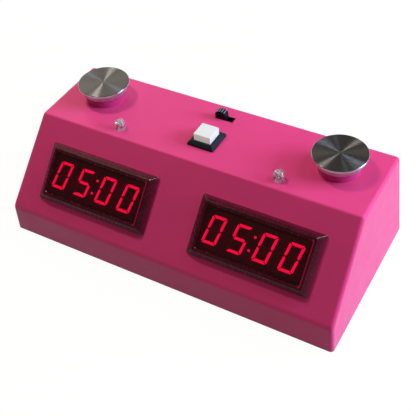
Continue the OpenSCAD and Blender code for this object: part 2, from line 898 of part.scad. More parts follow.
// Player buttons
module button_cap(side) {
    color([0.72, 0.71, 0.68])
        on_button(side)
            difference() {
                rotate_extrude()
                    polygon([[0, flange_top], [stem_r, flange_top], [stem_r, cap_under],
                        [cap_r - cap_taper, cap_under], [cap_r, cap_top - cap_rim],
                        [cap_r, cap_top - cap_chamfer], [cap_r - cap_chamfer, cap_top], [0, cap_top]]);
                rod(screw_hole_r, flange_top - over, flange_top + cap_screw_bite + over);
            }
}
module button_plunger(side) {
    color([0.15, 0.15, 0.16])
        on_button(side)
            difference() {
                union() {
                    rod(flange_r, flange_z, flange_top);
                    rod(skirt_r, flange_z - skirt_h, flange_top);
                }
                rod(skirt_r - skirt_t, flange_z - skirt_h - over, flange_z);
                rod(screw_hole_r, flange_z - over, flange_top + over);
            }
}
module cap_screw(side) {
    color("silver")
        on_button(side)
            translate([0, 0, flange_z])
                screw(flange_t + cap_screw_bite);
}
module button_spring(side) {
    path = helix(spring_r, spring_z + spring_wire/2, flange_z - spring_wire/2, spring_turns);
    echo(spring = "player button", least_gap = coil_gap(path, spring_wire));
    color("silver")
        on_button(side)
            coil(path, (flange_z - spring_z)/spring_turns, spring_wire);
}
module button_guide(side) {
    color([0.15, 0.15, 0.16])
        on_button(side)
            difference() {
                union() {
                    rod(guide_flange_r, board_z, spring_z);
                    rod(guide_outer, board_z, board_z + guide_h);
                }
                rod(guide_inner, board_z - over, board_z + guide_h + over);
            }
}
module button_switch(side) {
    color([0.20, 0.20, 0.22])
        on_button(side)
            difference() {
                block([switch_w, switch_w, switch_h], [0, 0, board_z]);
                rod(actuator_r + actuator_gap, board_z + switch_floor, board_z + switch_h + over);
            }
}
module switch_actuator(side) {
    color([0.85, 0.85, 0.82])
        on_button(side)
            rod(actuator_r, actuator_z, actuator_top);
}

// Mode button
module mode_button_housing() {
    bezel_top = mode_shaft_w + 2*mode_rim;
    lug_top = inner_top - rest_gap;
    color([0.16, 0.17, 0.21])
        translate([0, mode_y, 0])
            difference() {
                union() {
                    block([mode_w, mode_w, mode_edge], [0, 0, top_z]);
                    translate([0, 0, top_z + mode_edge])
                        frustum(mode_w, bezel_top, mode_rise - mode_edge);
                    block([mode_body_w, mode_body_w, top_z + mode_edge - board_z], [0, 0, board_z]);
                    block([mode_body_w + 2*(mode_cut_gap + mode_lug), mode_w/3, mode_rim],
                        [0, 0, lug_top - mode_rim]);
                }
                difference() {
                    union() {
                        block([mode_shaft_w, mode_shaft_w, top_z + mode_rise + over - mode_floor],
                            [0, 0, mode_floor]);
                        block([mode_chamber_w, mode_chamber_w, mode_ceiling - mode_floor],
                            [0, 0, mode_floor]);
                    }
                    rod(mode_post_r, mode_floor - over, mode_floor + mode_post_h);
                }
            }
}
module mode_button_cap() {
    flange_top_z = mode_ceiling - rest_gap;
    cap_z = top_z + mode_cap_rise;
    hollow_w = mode_cap_w - 2*mode_cap_wall;
    color([0.92, 0.93, 0.93])
        translate([0, mode_y, 0])
            difference() {
                union() {
                    block([mode_cap_w, mode_cap_w, cap_z - flange_top_z], [0, 0, flange_top_z]);
                    block([mode_flange_w, mode_flange_w, mode_flange_t],
                        [0, 0, flange_top_z - mode_flange_t]);
                }
                block([hollow_w, hollow_w, mode_spring_top - flange_top_z + mode_flange_t + over],
                    [0, 0, flange_top_z - mode_flange_t - over]);
            }
}
module mode_button_spring() {
    wire_r = mode_spring_wire/2;
    path = helix(mode_spring_r, mode_floor + wire_r, mode_spring_top - wire_r, mode_spring_turns);
    echo(spring = "mode button", least_gap = coil_gap(path, mode_spring_wire));
    color("silver")
        translate([0, mode_y, 0])
            coil(path, (mode_spring_top - mode_floor)/mode_spring_turns, mode_spring_wire);
}
module mode_button_terminals() {
    color("gold")
        mode_pin_places()
            block([terminal_w, terminal_w, board_t + lead_proud], [0, 0, board_under - lead_proud]);
}

// Power switch
module power_switch_frame() {
    color([0.62, 0.63, 0.65])
        translate([0, power_y, 0])
            difference() {
                block([power_l, power_d, power_h], [0, 0, board_z]);
                block([power_hollow_l, power_hollow_d, power_h - power_floor - power_roof],
                    [0, 0, board_z + power_floor]);
                block([slot_l, slot_d, power_h], [0, 0, board_z + power_h - power_roof - over]);
            }
}
module power_switch_knob() {
    foot_z = board_z + power_floor + rest_gap;
    foot_top = board_z + power_h - power_roof - rest_gap;
    sag = knob_rise - knob_shoulder;
    dome_r = (knob_l*knob_l/4 + sag*sag)/(2*sag);
    dome_z = top_z + knob_rise - dome_r;
    rib_angle = 2*asin(min(knob_l/2/dome_r, 1))/(knob_ribs + 1);
    color([0.10, 0.10, 0.11])
        translate([knob_x, power_y, 0]) {
            block([knob_foot_l, knob_foot_d, foot_top - foot_z], [0, 0, foot_z]);
            intersection() {
                block([knob_l, knob_d, top_z + knob_rise - foot_z], [0, 0, foot_z]);
                union() {
                    block([knob_l, knob_d, top_z + knob_shoulder - foot_z], [0, 0, foot_z]);
                    translate([0, 0, dome_z])
                        rotate([90, 0, 0])
                            cylinder(r = dome_r, h = knob_d, center = true);
                }
            }
            for (i = [1:knob_ribs])
                translate([0, 0, dome_z])
                    rotate([0, (i - (knob_ribs + 1)/2)*rib_angle, 0])
                        block([knob_rib_w, knob_d, knob_rib_w], [0, 0, dome_r - knob_rib_w/2]);
        }
}
module power_switch_terminals() {
    color("gold")
        power_pin_places()
            block([terminal_w, terminal_w, board_t + lead_proud], [0, 0, board_under - lead_proud]);
}

// Small pieces under the control board
module microcontroller() {
    leg_w = chip_leg_pitch/2;
    color([0.10, 0.10, 0.11])
        translate([chip_at[0], chip_at[1], board_under - chip_t]) {
            block([chip_w, chip_w, chip_t], [0, 0, 0]);
            for (turn = [0:90:270], i = [0:chip_legs - 1])
                rotate([0, 0, turn])
                    block([chip_t, leg_w, chip_t/2],
                        [(chip_w + chip_t)/2, (i - (chip_legs - 1)/2)*chip_leg_pitch, chip_t/2]);
        }
}
module crystal() {
    color("silver")
        translate([crystal_at[0], crystal_at[1], board_under - crystal_h]) {
            block([crystal_l - crystal_d, crystal_d, crystal_h], [0, 0, 0]);
            for (s = [-1, 1])
                translate([s*(crystal_l - crystal_d)/2, 0, 0])
                    cylinder(d = crystal_d, h = crystal_h);
        }
}
module capacitor() {
    color([0.10, 0.12, 0.30])
        translate([capacitor_at[0], capacitor_at[1], board_under - capacitor_h])
            cylinder(d = capacitor_d, h = capacitor_h);
}
module buzzer() {
    color([0.10, 0.10, 0.11])
        translate([buzzer_at[0], buzzer_at[1], board_under - buzzer_h])
            difference() {
                cylinder(d = buzzer_d, h = buzzer_h);
                translate([0, 0, -over])
                    cylinder(d = buzzer_hole_d, h = buzzer_h/2 + over);
            }
}
module ribbon_headers() {
    color([0.10, 0.10, 0.11]) {
        on_slope()
            block([header_l, header_d, header_h], [0, bezel_up, display_board_z - header_h]);
        block([header_l, header_d, header_h], [0, header_y, board_under - header_h]);
    }
}
module ribbon_cable() {
    along = [cos(slope_angle), sin(slope_angle)];
    out = [sin(slope_angle), -cos(slope_angle)];
    start = [front_y, lip_z] + bezel_up*along + (header_h - display_board_z)*out;
    end = [header_y, board_under - header_h];
    guide_points = [start, start + ribbon_reach*out, end - [0, ribbon_rise], end];
    side = ribbon_w/2;
    color([0.55, 0.55, 0.57])
        skin([for (i = [0:ribbon_steps])
            let (p = bezier(guide_points, i/ribbon_steps),
                way = bezier_way(guide_points, i/ribbon_steps),
                a = p + [-way[1], way[0]]*ribbon_t/2,
                b = p - [-way[1], way[0]]*ribbon_t/2)
            [[-side, b[0], b[1]], [-side, a[0], a[1]], [side, a[0], a[1]], [side, b[0], b[1]]]]);
}

// Battery bay
module battery_tray() {
    outer_l = bay_l + 2*tray_t;
    outer_d = bay_d + 2*tray_t;
    color([0.16, 0.16, 0.17])
        difference() {
            union() {
                block([outer_l, outer_d, bay_top + tray_t - plate_z], [0, bay_y, plate_z]);
                tray_ear_places()
                    block([tray_ear + 2*tray_t, tray_ear, tray_ear_t], [0, 0, plate_z]);
            }
            block([bay_l, bay_d, bay_top - plate_z + over], [0, bay_y, plate_z - over]);
            tray_ear_places()
                rod(screw_hole_r, plate_z - over, plate_z + tray_ear_t + over);
            for (s = [-1, 1])
                translate([bay_hl - over, bay_y + s*cell_pitch/2, cell_z])
                    rotate([0, 90, 0])
                        cylinder(d = lead_slot_w, h = tray_t + 2*over);
        }
}
module tray_screws() {
    color("silver")
        tray_ear_places()
            translate([0, 0, plate_z + tray_ear_t])
                mirror([0, 0, 1])
                    screw(tray_ear_t + tray_screw_bite);
}
module cell() {
    rotate([0, 90, 0]) {
        cylinder(d = cell_d, h = cell_l - nub_h);
        cylinder(r = nub_r, h = cell_l);
    }
}
module batteries() {
    color([0.75, 0.60, 0.25])
        for (s = [-1, 1], i = [-1, 0])
            translate([0, bay_y + s*cell_pitch/2, cell_z])
                mirror([s < 0 ? 1 : 0, 0, 0])
                    translate([i*cell_l + (i + 0.5)*rest_gap, 0, 0])
                        cell();
}
module battery_contacts() {
    color("silver")
        for (e = [-1, 1], s = [-1, 1])
            translate([e*bay_hl, bay_y + s*cell_pitch/2, cell_z])
                rotate([0, -90*e, 0]) {
                    translate([-contact_w/2, -contact_w/2, 0])
                        cube([contact_w, contact_w, contact_t]);
                    cylinder(r = contact_r, h = cell_end - rest_gap);
                }
}
module battery_leads() {
    start = [bay_hl, cell_z];
    end = [bay_hl + lead_reach + lead_d, board_under];
    guide_points = [start, start + [lead_reach, 0], end - [0, lead_rise], end];
    color([0.55, 0.08, 0.08])
        for (s = [-1, 1])
            translate([0, bay_y + s*cell_pitch/2, 0])
                skin([for (i = [0:lead_steps])
                    let (p = bezier(guide_points, i/lead_steps),
                        way = bezier_way(guide_points, i/lead_steps))
                    ring([p[0], 0, p[1]], [way[0], 0, way[1]], [0, 1, 0], lead_d/2, lead_sides)]);
}
module battery_door() {
    color([0.70, 0.22, 0.42])
        difference() {
            union() {
                translate([-door_hl, hinge_y, foot_h])
                    cube([2*door_hl, door_back - hinge_y, door_t]);
                translate([0, hinge_y, hinge_z])
                    rotate([0, 90, 0]) {
                        cylinder(r = barrel_r, h = 2*door_hl, center = true);
                        cylinder(r = trunnion_r, h = 2*(door_hl + trunnion_l), center = true);
                    }
            }
            translate([0, door_back, foot_h - over])
                cylinder(r = finger_r, h = finger_depth + over);
        }
}

case_shell();
base_plate();
base_screws();
rubber_feet();
bezel(-1);  // left_bezel
bezel(1);  // right_bezel
filter(-1);  // left_filter
filter(1);  // right_filter
display_module(-1);  // left_display_module
display_module(1);  // right_display_module
lit_segments(-1);  // left_lit_segments
lit_segments(1);  // right_lit_segments
dark_segments(-1);  // left_dark_segments
dark_segments(1);  // right_dark_segments
display_pins();
display_board();
display_board_screws();
control_board();
control_board_screws();
lamp(-1);  // left_lamp
lamp(1);  // right_lamp
lamp_leads();
button_cap(-1);  // left_button_cap
button_cap(1);  // right_button_cap
button_plunger(-1);  // left_button_plunger
button_plunger(1);  // right_button_plunger
cap_screw(-1);  // left_cap_screw
cap_screw(1);  // right_cap_screw
button_spring(-1);  // left_button_spring
button_spring(1);  // right_button_spring
button_guide(-1);  // left_button_guide
button_guide(1);  // right_button_guide
button_switch(-1);  // left_button_switch
button_switch(1);  // right_button_switch
switch_actuator(-1);  // left_switch_actuator
switch_actuator(1);  // right_switch_actuator
mode_button_housing();
mode_button_cap();
mode_button_spring();
mode_button_terminals();
power_switch_frame();
power_switch_knob();
power_switch_terminals();
microcontroller();
crystal();
capacitor();
buzzer();
ribbon_headers();
ribbon_cable();
battery_tray();
tray_screws();
batteries();
battery_contacts();
battery_leads();
battery_door();
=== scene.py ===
import math

import bmesh
import bpy
from mathutils import Matrix, Vector


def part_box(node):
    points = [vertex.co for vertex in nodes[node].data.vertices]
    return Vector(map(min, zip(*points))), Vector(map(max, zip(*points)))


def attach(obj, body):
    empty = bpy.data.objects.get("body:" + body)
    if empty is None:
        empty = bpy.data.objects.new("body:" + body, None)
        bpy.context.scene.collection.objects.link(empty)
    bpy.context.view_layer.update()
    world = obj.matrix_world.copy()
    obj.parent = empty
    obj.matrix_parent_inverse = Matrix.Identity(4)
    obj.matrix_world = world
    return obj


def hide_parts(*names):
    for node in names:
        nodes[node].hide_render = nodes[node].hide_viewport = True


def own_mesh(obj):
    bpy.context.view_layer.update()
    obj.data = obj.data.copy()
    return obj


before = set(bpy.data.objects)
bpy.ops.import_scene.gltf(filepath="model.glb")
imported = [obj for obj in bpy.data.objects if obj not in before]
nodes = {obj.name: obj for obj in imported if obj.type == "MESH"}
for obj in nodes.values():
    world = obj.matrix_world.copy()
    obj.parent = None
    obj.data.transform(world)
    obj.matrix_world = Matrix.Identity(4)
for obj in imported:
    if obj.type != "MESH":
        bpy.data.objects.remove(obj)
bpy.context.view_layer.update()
mm = 0.001
print("frame loaded:", len(nodes), "nodes")

# the front slope's own frame: x along the clock, y up the slope, z straight out of it
slope = {"foot": (0, -44, 17.5), "angle": 46.591}
slopeFrame = (Matrix.Translation(Vector(slope["foot"]) * mm)
              @ Matrix.Rotation(math.radians(slope["angle"]), 4, "X") @ Matrix.Scale(mm, 4))
slopeOut = (slopeFrame.to_3x3() @ Vector((0, 0, 1))).normalized()
mmFrame = Matrix.Scale(mm, 4)
sides = ("left", "right")

# shared mesh steps, in millimetres until a piece is finished; node meshes are in metres
steps = {"merge": 1e-4, "nodeMerge": 1e-6, "near": 0.1, "flatAngle": 0.5, "softAngle": 40, "weld": 0.004}


def middle(node):
    low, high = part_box(node)
    return (low + high) / 2


def boxInMm(node):
    return tuple(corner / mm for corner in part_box(node))


def turn(degrees, axis):
    return Matrix.Rotation(math.radians(degrees), 4, axis)


def vertsOf(geom):
    return [part for part in geom if isinstance(part, bmesh.types.BMVert)]


def edgesOf(geom):
    return [part for part in geom if isinstance(part, bmesh.types.BMEdge)]


def roundedRect(bm, width, height, radius, z, segments=6):
    # the first face of an empty bmesh
    made = bmesh.ops.create_grid(bm, x_segments=1, y_segments=1, size=0.5)["verts"]
    bmesh.ops.scale(bm, vec=(width, height, 1), verts=made)
    bmesh.ops.translate(bm, vec=(0, 0, z), verts=made)
    bmesh.ops.bevel(bm, geom=made, offset=radius, affect="VERTICES", segments=segments, profile=0.5,
                    material=-1)
    return next(iter(bm.faces))


def raiseFace(bm, face, z, scale=(1, 1)):
    made = bmesh.ops.extrude_discrete_faces(bm, faces=[face])["faces"][0]
    centre = made.calc_center_median()
    bmesh.ops.scale(bm, vec=(*scale, 1), space=Matrix.Translation(-centre), verts=made.verts)
    bmesh.ops.translate(bm, vec=(0, 0, z - centre.z), verts=made.verts)
    return made


def blockOf(bm, size, centre):
    made = bmesh.ops.create_cube(bm, size=1)["verts"]
    bmesh.ops.scale(bm, vec=size, verts=made)
    bmesh.ops.translate(bm, vec=centre, verts=made)
    return made


def roundEdges(bm, edges, radius, segments):
    bmesh.ops.bevel(bm, geom=list(edges), offset=radius, offset_type="OFFSET", affect="EDGES",
                    segments=segments, profile=0.5, material=-1, clamp_overlap=True)


def sharpEdges(bm):
    limit = math.radians(steps["softAngle"])
    return [e for e in bm.edges if len(e.link_faces) == 2 and e.calc_face_angle(0) > limit]


def spinProfile(bm, profile, turnSteps):
    verts = [bm.verts.new((r, 0, z)) for r, z in profile]
    edges = [bm.edges.new(pair) for pair in zip(verts, verts[1:])]
    bmesh.ops.spin(bm, geom=verts + edges, cent=(0, 0, 0), axis=(0, 0, 1), angle=math.tau,
                   steps=turnSteps, use_merge=True)
    bmesh.ops.remove_doubles(bm, verts=bm.verts, dist=steps["merge"])
    bmesh.ops.recalc_face_normals(bm, faces=bm.faces)


def extendLoop(bm, edges, z, scale=1):
    # a new ring beside an open one, at that height; scale is one number or one each for x and y
    made = bmesh.ops.extrude_edge_only(bm, edges=edges)["geom"]
    across = scale if isinstance(scale, tuple) else (scale, scale)
    bmesh.ops.scale(bm, vec=(*across, 1), verts=vertsOf(made))
    for vert in vertsOf(made):
        vert.co.z = z
    return edgesOf(made)


def openLoop(bm, z):
    return [e for e in bm.edges if e.is_boundary and all(abs(v.co.z - z) < steps["merge"] for v in e.verts)]


def paint(bm, pick):
    # pick gives each face its material number
    for face in bm.faces:
        face.material_index = pick(face)


def gather(total, part, place=None):
    # adds one finished shape to a group of them
    part.transform(place or Matrix.Identity(4))
    mesh = bpy.data.meshes.new("part")
    part.to_mesh(mesh)
    part.free()
    total.from_mesh(mesh)
    bpy.data.meshes.remove(mesh)


def finishPiece(name, bm, materials, body, replaced=(), place=None, smooth=30, weighted=True):
    bm.transform(place or mmFrame)
    mesh = bpy.data.meshes.new(name)
    bm.to_mesh(mesh)
    bm.free()
    piece = bpy.data.objects.new(name, mesh)
    bpy.context.scene.collection.objects.link(piece)
    for material in materials:
        mesh.materials.append(material)
    mesh.shade_smooth()
    mesh.set_sharp_from_angle(angle=math.radians(smooth))
    if weighted:
        piece.modifiers.new("evenNormals", "WEIGHTED_NORMAL").keep_sharp = True
    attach(piece, body)
    if replaced:
        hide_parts(*replaced)
    return piece


def mergedNode(node):
    bm = bmesh.new()
    bm.from_mesh(nodes[node].data)
    bmesh.ops.remove_doubles(bm, verts=bm.verts, dist=steps["nodeMerge"])
    return bm


def dressNode(node, name, materials, body, slot, bevel=0, segments=2, pick=None):
    # a cleaned copy of a CAD node with softened edges
    bm = mergedNode(node)
    bmesh.ops.dissolve_limit(bm, angle_limit=math.radians(steps["flatAngle"]), verts=bm.verts, edges=bm.edges)
    if pick:
        paint(bm, pick)
    piece = finishPiece(name, bm, materials, body, (node,), Matrix.Identity(4), weighted=False)
    if bevel:
        softened = piece.modifiers.new("softEdges", "BEVEL")
        softened.width = bevel * mm
        softened.segments = segments
        softened.limit_method = "ANGLE"
        softened.angle_limit = math.radians(steps["softAngle"])
        softened.harden_normals = False
        piece.modifiers.new("closeSlivers", "WELD").merge_threshold = steps["weld"] * mm
    piece.modifiers.new("evenNormals", "WEIGHTED_NORMAL").keep_sharp = not bevel


def islands(node):
    # the separate solids of a node, each as a list of points
    bm = mergedNode(node)
    left = dict.fromkeys(bm.verts)
    groups = []
    while left:
        queue = [left.popitem()[0]]
        group = []
        while queue:
            vert = queue.pop()
            group.append(vert.co.copy())
            for edge in vert.link_edges:
                other = edge.other_vert(vert)
                if other in left:
                    del left[other]
                    queue.append(other)
        groups.append(group)
    bm.free()
    return sorted(groups, key=lambda g: tuple(round(sum(p[i] for p in g) / len(g), 5) for i in range(3)))


def pointBox(points):
    # two corners in mm
    return (Vector(min(p[i] for p in points) for i in range(3)) / mm,
            Vector(max(p[i] for p in points) for i in range(3)) / mm)


# camera, lamps, floor
scene = bpy.context.scene
scene.view_settings.view_transform = "Standard"

cameraView = {"place": (0.1603, -0.2487, 0.3046), "azimuth": 32.44, "elevation": 44.40, "roll": -4.61,
              "lens": 70.11}


def setCamera():
    camera = bpy.data.objects.new("camera", bpy.data.cameras.new("camera"))
    camera.data.lens = cameraView["lens"]
    camera.matrix_world = (Matrix.Translation(cameraView["place"]) @ turn(cameraView["azimuth"], "Z")
                           @ turn(90 - cameraView["elevation"], "X") @ turn(cameraView["roll"], "Z"))
    scene.collection.objects.link(camera)
    scene.camera = camera


# all lamps look at one point, from the same distance; the last one only shows in gloss
lampAim = {"point": (0, 0, 0.03), "away": 0.8}
lampSet = {
    "keySoftbox": {"towards": (0.60, 0.42, 0.68), "size": (0.08, 0.6), "power": 1.6,
                   "colour": (0.85, 0.91, 1.0)},
    "sideSoftbox": {"towards": (0.90, 0.33, 0.28), "size": (0.38, 0.4), "power": 7.5,
                    "colour": (0.70, 0.80, 1.0)},
    "stripSoftbox": {"towards": (-0.448, 0.03, 0.893), "size": (0.07, 0.14), "power": 2.0,
                     "colour": (1.0, 0.94, 0.74)},
    "leftPanel": {"towards": (-0.78, 0.45, 0.44), "size": (0.6, 0.6), "power": 1.2,
                  "colour": (1.0, 0.92, 0.72)},
    "cornerGlint": {"towards": (0.234, 0.12, 0.965), "size": (0.04, 0.05), "power": 0.2,
                    "colour": (0.90, 0.90, 1.0), "glossOnly": True},
}


def setLamps():
    for name, values in lampSet.items():
        light = bpy.data.lights.new(name, "AREA")
        light.shape = "RECTANGLE"
        light.size, light.size_y = values["size"]
        light.energy = values["power"]
        light.color = values["colour"]
        holder = bpy.data.objects.new(name, light)
        towards = Vector(values["towards"]).normalized()
        holder.matrix_world = (Matrix.Translation(Vector(lampAim["point"]) + towards * lampAim["away"])
                               @ towards.to_track_quat("Z", "Y").to_matrix().to_4x4())
        holder.visible_diffuse = not values.get("glossOnly", False)
        scene.collection.objects.link(holder)


def addNode(tree, kind, values=None, **settings):
    node = tree.nodes.new(kind)
    for key, value in settings.items():
        setattr(node, key, value)
    for key, value in (values or {}).items():
        node.inputs[key].default_value = value
    return node


def addMath(tree, operation, values=None):
    return addNode(tree, "ShaderNodeMath", values, operation=operation)


def addVector(tree, operation, values=None):
    return addNode(tree, "ShaderNodeVectorMath", values, operation=operation)


def wire(tree, *joins):
    # each join is a node, its output, the next node and its input
    for start, output, end, entry in joins:
        tree.links.new(start.outputs[output], end.inputs[entry])


def seenRay(tree):
    # seen is 1 for rays that show the surroundings: to the camera, in gloss and through clear pieces
    path = addNode(tree, "ShaderNodeLightPath")
    glossy = addMath(tree, "MAXIMUM")
    seen = addMath(tree, "MAXIMUM")
    wire(tree, (path, "Is Camera Ray", glossy, 0), (path, "Is Glossy Ray", glossy, 1), (glossy, 0, seen, 0),
         (path, "Is Transmission Ray", seen, 1))
    return path, seen


roomSet = {"tint": (1.0, 0.92, 0.77, 1), "low": 0.075, "high": 0.222, "highAt": 0.8, "horizon": 0.86,
           "bandFoot": 0.02, "bandTop": 0.30, "through": 0.9, "darkSide": -0.1, "lightSide": 0.6}


def setRoom():
    # soft light from above; gloss shows a pale band above the floor, clear pieces a sky that is dark at left
    world = bpy.data.worlds.new("room")
    scene.world = world
    world.use_nodes = True
    tree = world.node_tree
    tree.nodes.clear()
    place = addNode(tree, "ShaderNodeTexCoord")
    parts = addNode(tree, "ShaderNodeSeparateXYZ")
    path, seen = seenRay(tree)
    band = addNode(tree, "ShaderNodeMapRange",
                   {"From Min": roomSet["bandFoot"], "From Max": roomSet["bandTop"],
                    "To Min": 1.0, "To Max": 0.0},
                   interpolation_type="SMOOTHSTEP")
    share = addMath(tree, "MULTIPLY")
    sky = addNode(tree, "ShaderNodeMapRange",
                  {"From Min": roomSet["darkSide"], "From Max": roomSet["lightSide"],
                   "To Max": roomSet["through"]})
    through = addMath(tree, "MULTIPLY")
    soft = addNode(tree, "ShaderNodeMapRange",
                   {"From Max": roomSet["highAt"], "To Min": roomSet["low"], "To Max": roomSet["high"]})
    pale = addMath(tree, "MAXIMUM")
    level = addNode(tree, "ShaderNodeMapRange", {"To Max": roomSet["horizon"]})
    backdrop = addNode(tree, "ShaderNodeBackground", {"Color": roomSet["tint"]})
    white = addNode(tree, "ShaderNodeBackground", {"Color": (1, 1, 1, 1)})
    shown = addNode(tree, "ShaderNodeMixShader")
    out = addNode(tree, "ShaderNodeOutputWorld")
    wire(tree, (place, "Generated", parts, 0),
         (parts, "Z", band, "Value"), (band, "Result", share, 0), (seen, 0, share, 1), (share, 0, pale, 0),
         (parts, "X", sky, "Value"), (path, "Is Transmission Ray", through, 0), (sky, "Result", through, 1),
         (through, 0, pale, 1), (pale, 0, level, "Value"),
         (parts, "Z", soft, "Value"), (soft, "Result", level, "To Min"),
         (level, "Result", backdrop, "Strength"), (path, "Is Camera Ray", shown, 0), (backdrop, 0, shown, 1),
         (white, 0, shown, 2), (shown, 0, out, "Surface"))


floorSet = {"radius": 3.0, "sides": 96, "albedo": (0.25, 0.23, 0.19), "pale": (1.14, 1.155), "glow": 0.85,
            "cloud": 3.0, "detail": 2.0}


def floorPaper():
    # nearly white where it is seen, dull paper for the light that it throws back
    material = bpy.data.materials.new("floorPaper")
    material.use_nodes = True
    tree = material.node_tree
    tree.nodes.clear()
    paper = addNode(tree, "ShaderNodeBsdfDiffuse", {"Color": (*floorSet["albedo"], 1)})
    white = addNode(tree, "ShaderNodeEmission", {"Strength": 1.0})
    place = addNode(tree, "ShaderNodeTexCoord")
    cloud = addNode(tree, "ShaderNodeTexNoise", {"Scale": floorSet["cloud"], "Detail": floorSet["detail"]})
    dull, bright = floorSet["pale"]
    level = addNode(tree, "ShaderNodeMapRange", {"To Min": dull, "To Max": bright})
    share = addMath(tree, "MULTIPLY", {1: floorSet["glow"]})
    blend = addNode(tree, "ShaderNodeMixShader")
    out = addNode(tree, "ShaderNodeOutputMaterial")
    seen = seenRay(tree)[1]
    wire(tree, (place, "Object", cloud, "Vector"), (cloud, "Fac", level, "Value"),
         (level, "Result", white, "Color"), (seen, 0, share, 0), (share, 0, blend, 0), (paper, 0, blend, 1),
         (white, 0, blend, 2), (blend, 0, out, "Surface"))
    return material


def setFloor():
    bm = bmesh.new()
    bmesh.ops.create_circle(bm, cap_ends=True, segments=floorSet["sides"], radius=floorSet["radius"])
    mesh = bpy.data.meshes.new("floor")
    bm.to_mesh(mesh)
    bm.free()
    mesh.materials.append(floorPaper())
    floor = bpy.data.objects.new("floor", mesh)
    scene.collection.objects.link(floor)


setCamera()
setLamps()
setRoom()
setFloor()
print("camera, lamps and floor set")


# finishes: sizes of patterns are in mm, shares are of the colour or of the roughness
noiseSpan = (0.3, 0.7)


def startMaterial(name, values):
    material = bpy.data.materials.new(name)
    material.use_nodes = True
    tree = material.node_tree
    shader = tree.nodes["Principled BSDF"]
    for key, value in values.items():
        shader.inputs[key].default_value = value
    return material, tree, shader


def noiseOn(tree, size, stretch=(1, 1, 1)):
    # noise on the piece's own coordinates, with blotches of that size
    place = addNode(tree, "ShaderNodeTexCoord")
    spread = addNode(tree, "ShaderNodeMapping", {"Scale": stretch})
    noise = addNode(tree, "ShaderNodeTexNoise", {"Scale": 1 / (size * mm), "Detail": 3.0, "Roughness": 0.5})
    wire(tree, (place, "Object", spread, "Vector"), (spread, "Vector", noise, "Vector"))
    return noise.outputs["Fac"]


def shade(colour, share):
    return (*(min(1, c * share) for c in colour), 1)


def colourBetween(tree, shader, factor, dark, light, span=noiseSpan):
    ramp = addNode(tree, "ShaderNodeValToRGB")
    for stop, position, colour in zip(ramp.color_ramp.elements, span, (dark, light)):
        stop.position = position
        stop.color = colour
    tree.links.new(factor, ramp.inputs["Fac"])
    wire(tree, (ramp, "Color", shader, "Base Color"))


def roughBetween(tree, shader, factor, low, high):
    level = addNode(tree, "ShaderNodeMapRange", {"From Min": noiseSpan[0], "From Max": noiseSpan[1],
                                                 "To Min": low, "To Max": high})
    tree.links.new(factor, level.inputs["Value"])
    wire(tree, (level, "Result", shader, "Roughness"))


def bumpFrom(tree, shader, height, depth):
    bump = addNode(tree, "ShaderNodeBump", {"Strength": 1.0, "Distance": depth * mm})
    tree.links.new(height, bump.inputs["Height"])
    wire(tree, (bump, "Normal", shader, "Normal"))


moulded = {"gloss": 0.04, "glossPatches": 4}


def mouldedPlastic(name, colour, roughness, grain=0.5, depth=0.01, mottle=0.05, blotch=30, values=None):
    # matt or glossy moulding: slow colour drift, uneven gloss and a fine skin
    material, tree, shader = startMaterial(name, values or {})
    colourBetween(tree, shader, noiseOn(tree, blotch), shade(colour, 1 - mottle), shade(colour, 1 + mottle))
    roughBetween(tree, shader, noiseOn(tree, blotch / moulded["glossPatches"]), roughness - moulded["gloss"],
                 roughness + moulded["gloss"])
    bumpFrom(tree, shader, noiseOn(tree, grain), depth)
    return material


plated = {"blotch": 3, "dark": 0.86, "bright": 1.08, "patch": 1.2, "smoother": 0.7, "rougher": 1.3,
          "scratch": 0.6, "drawn": (1, 8, 1)}


def platedMetal(name, colour, roughness, depth=0.004):
    # drawn or plated metal with fine scratches and dull patches
    material, tree, shader = startMaterial(name, {"Metallic": 1.0})
    colourBetween(tree, shader, noiseOn(tree, plated["blotch"]), shade(colour, plated["dark"]),
                  shade(colour, plated["bright"]))
    roughBetween(tree, shader, noiseOn(tree, plated["patch"]), plated["smoother"] * roughness,
                 plated["rougher"] * roughness)
    bumpFrom(tree, shader, noiseOn(tree, plated["scratch"], plated["drawn"]), depth)
    return material


turned = {"dark": 0.78, "bright": 1.16, "gloss": 0.06, "groove": 0.16, "grooveDepth": 0.004, "spread": 1.0}


def turnedMetal(name, colour, roughness, centre):
    # lathe-turned face: fine rings round a centre, gloss drawn out across them
    material, tree, shader = startMaterial(name, {"Metallic": 1.0, "Anisotropic": turned["spread"]})
    place = addNode(tree, "ShaderNodeTexCoord")
    offset = addVector(tree, "SUBTRACT", {1: centre})
    flat = addVector(tree, "MULTIPLY", {1: (1, 1, 0)})
    radius = addVector(tree, "LENGTH")
    outward = addVector(tree, "NORMALIZE")
    rings = addNode(tree, "ShaderNodeTexNoise", {"Scale": 1 / (turned["groove"] * mm), "Detail": 4.0,
                                                 "Roughness": 0.65}, noise_dimensions="1D")
    wire(tree, (place, "Object", offset, 0), (offset, "Vector", flat, 0), (flat, "Vector", radius, 0),
         (flat, "Vector", outward, 0), (radius, "Value", rings, "W"), (outward, "Vector", shader, "Tangent"))
    ring = rings.outputs["Fac"]
    colourBetween(tree, shader, ring, shade(colour, turned["dark"]), shade(colour, turned["bright"]))
    roughBetween(tree, shader, ring, roughness - turned["gloss"], roughness + turned["gloss"])
    bumpFrom(tree, shader, ring, turned["grooveDepth"])
    return material


resin = {"blotch": 4, "dark": 0.94, "patch": 2, "gloss": 0.03, "ripple": 1.5, "rippleDepth": 0.0015}


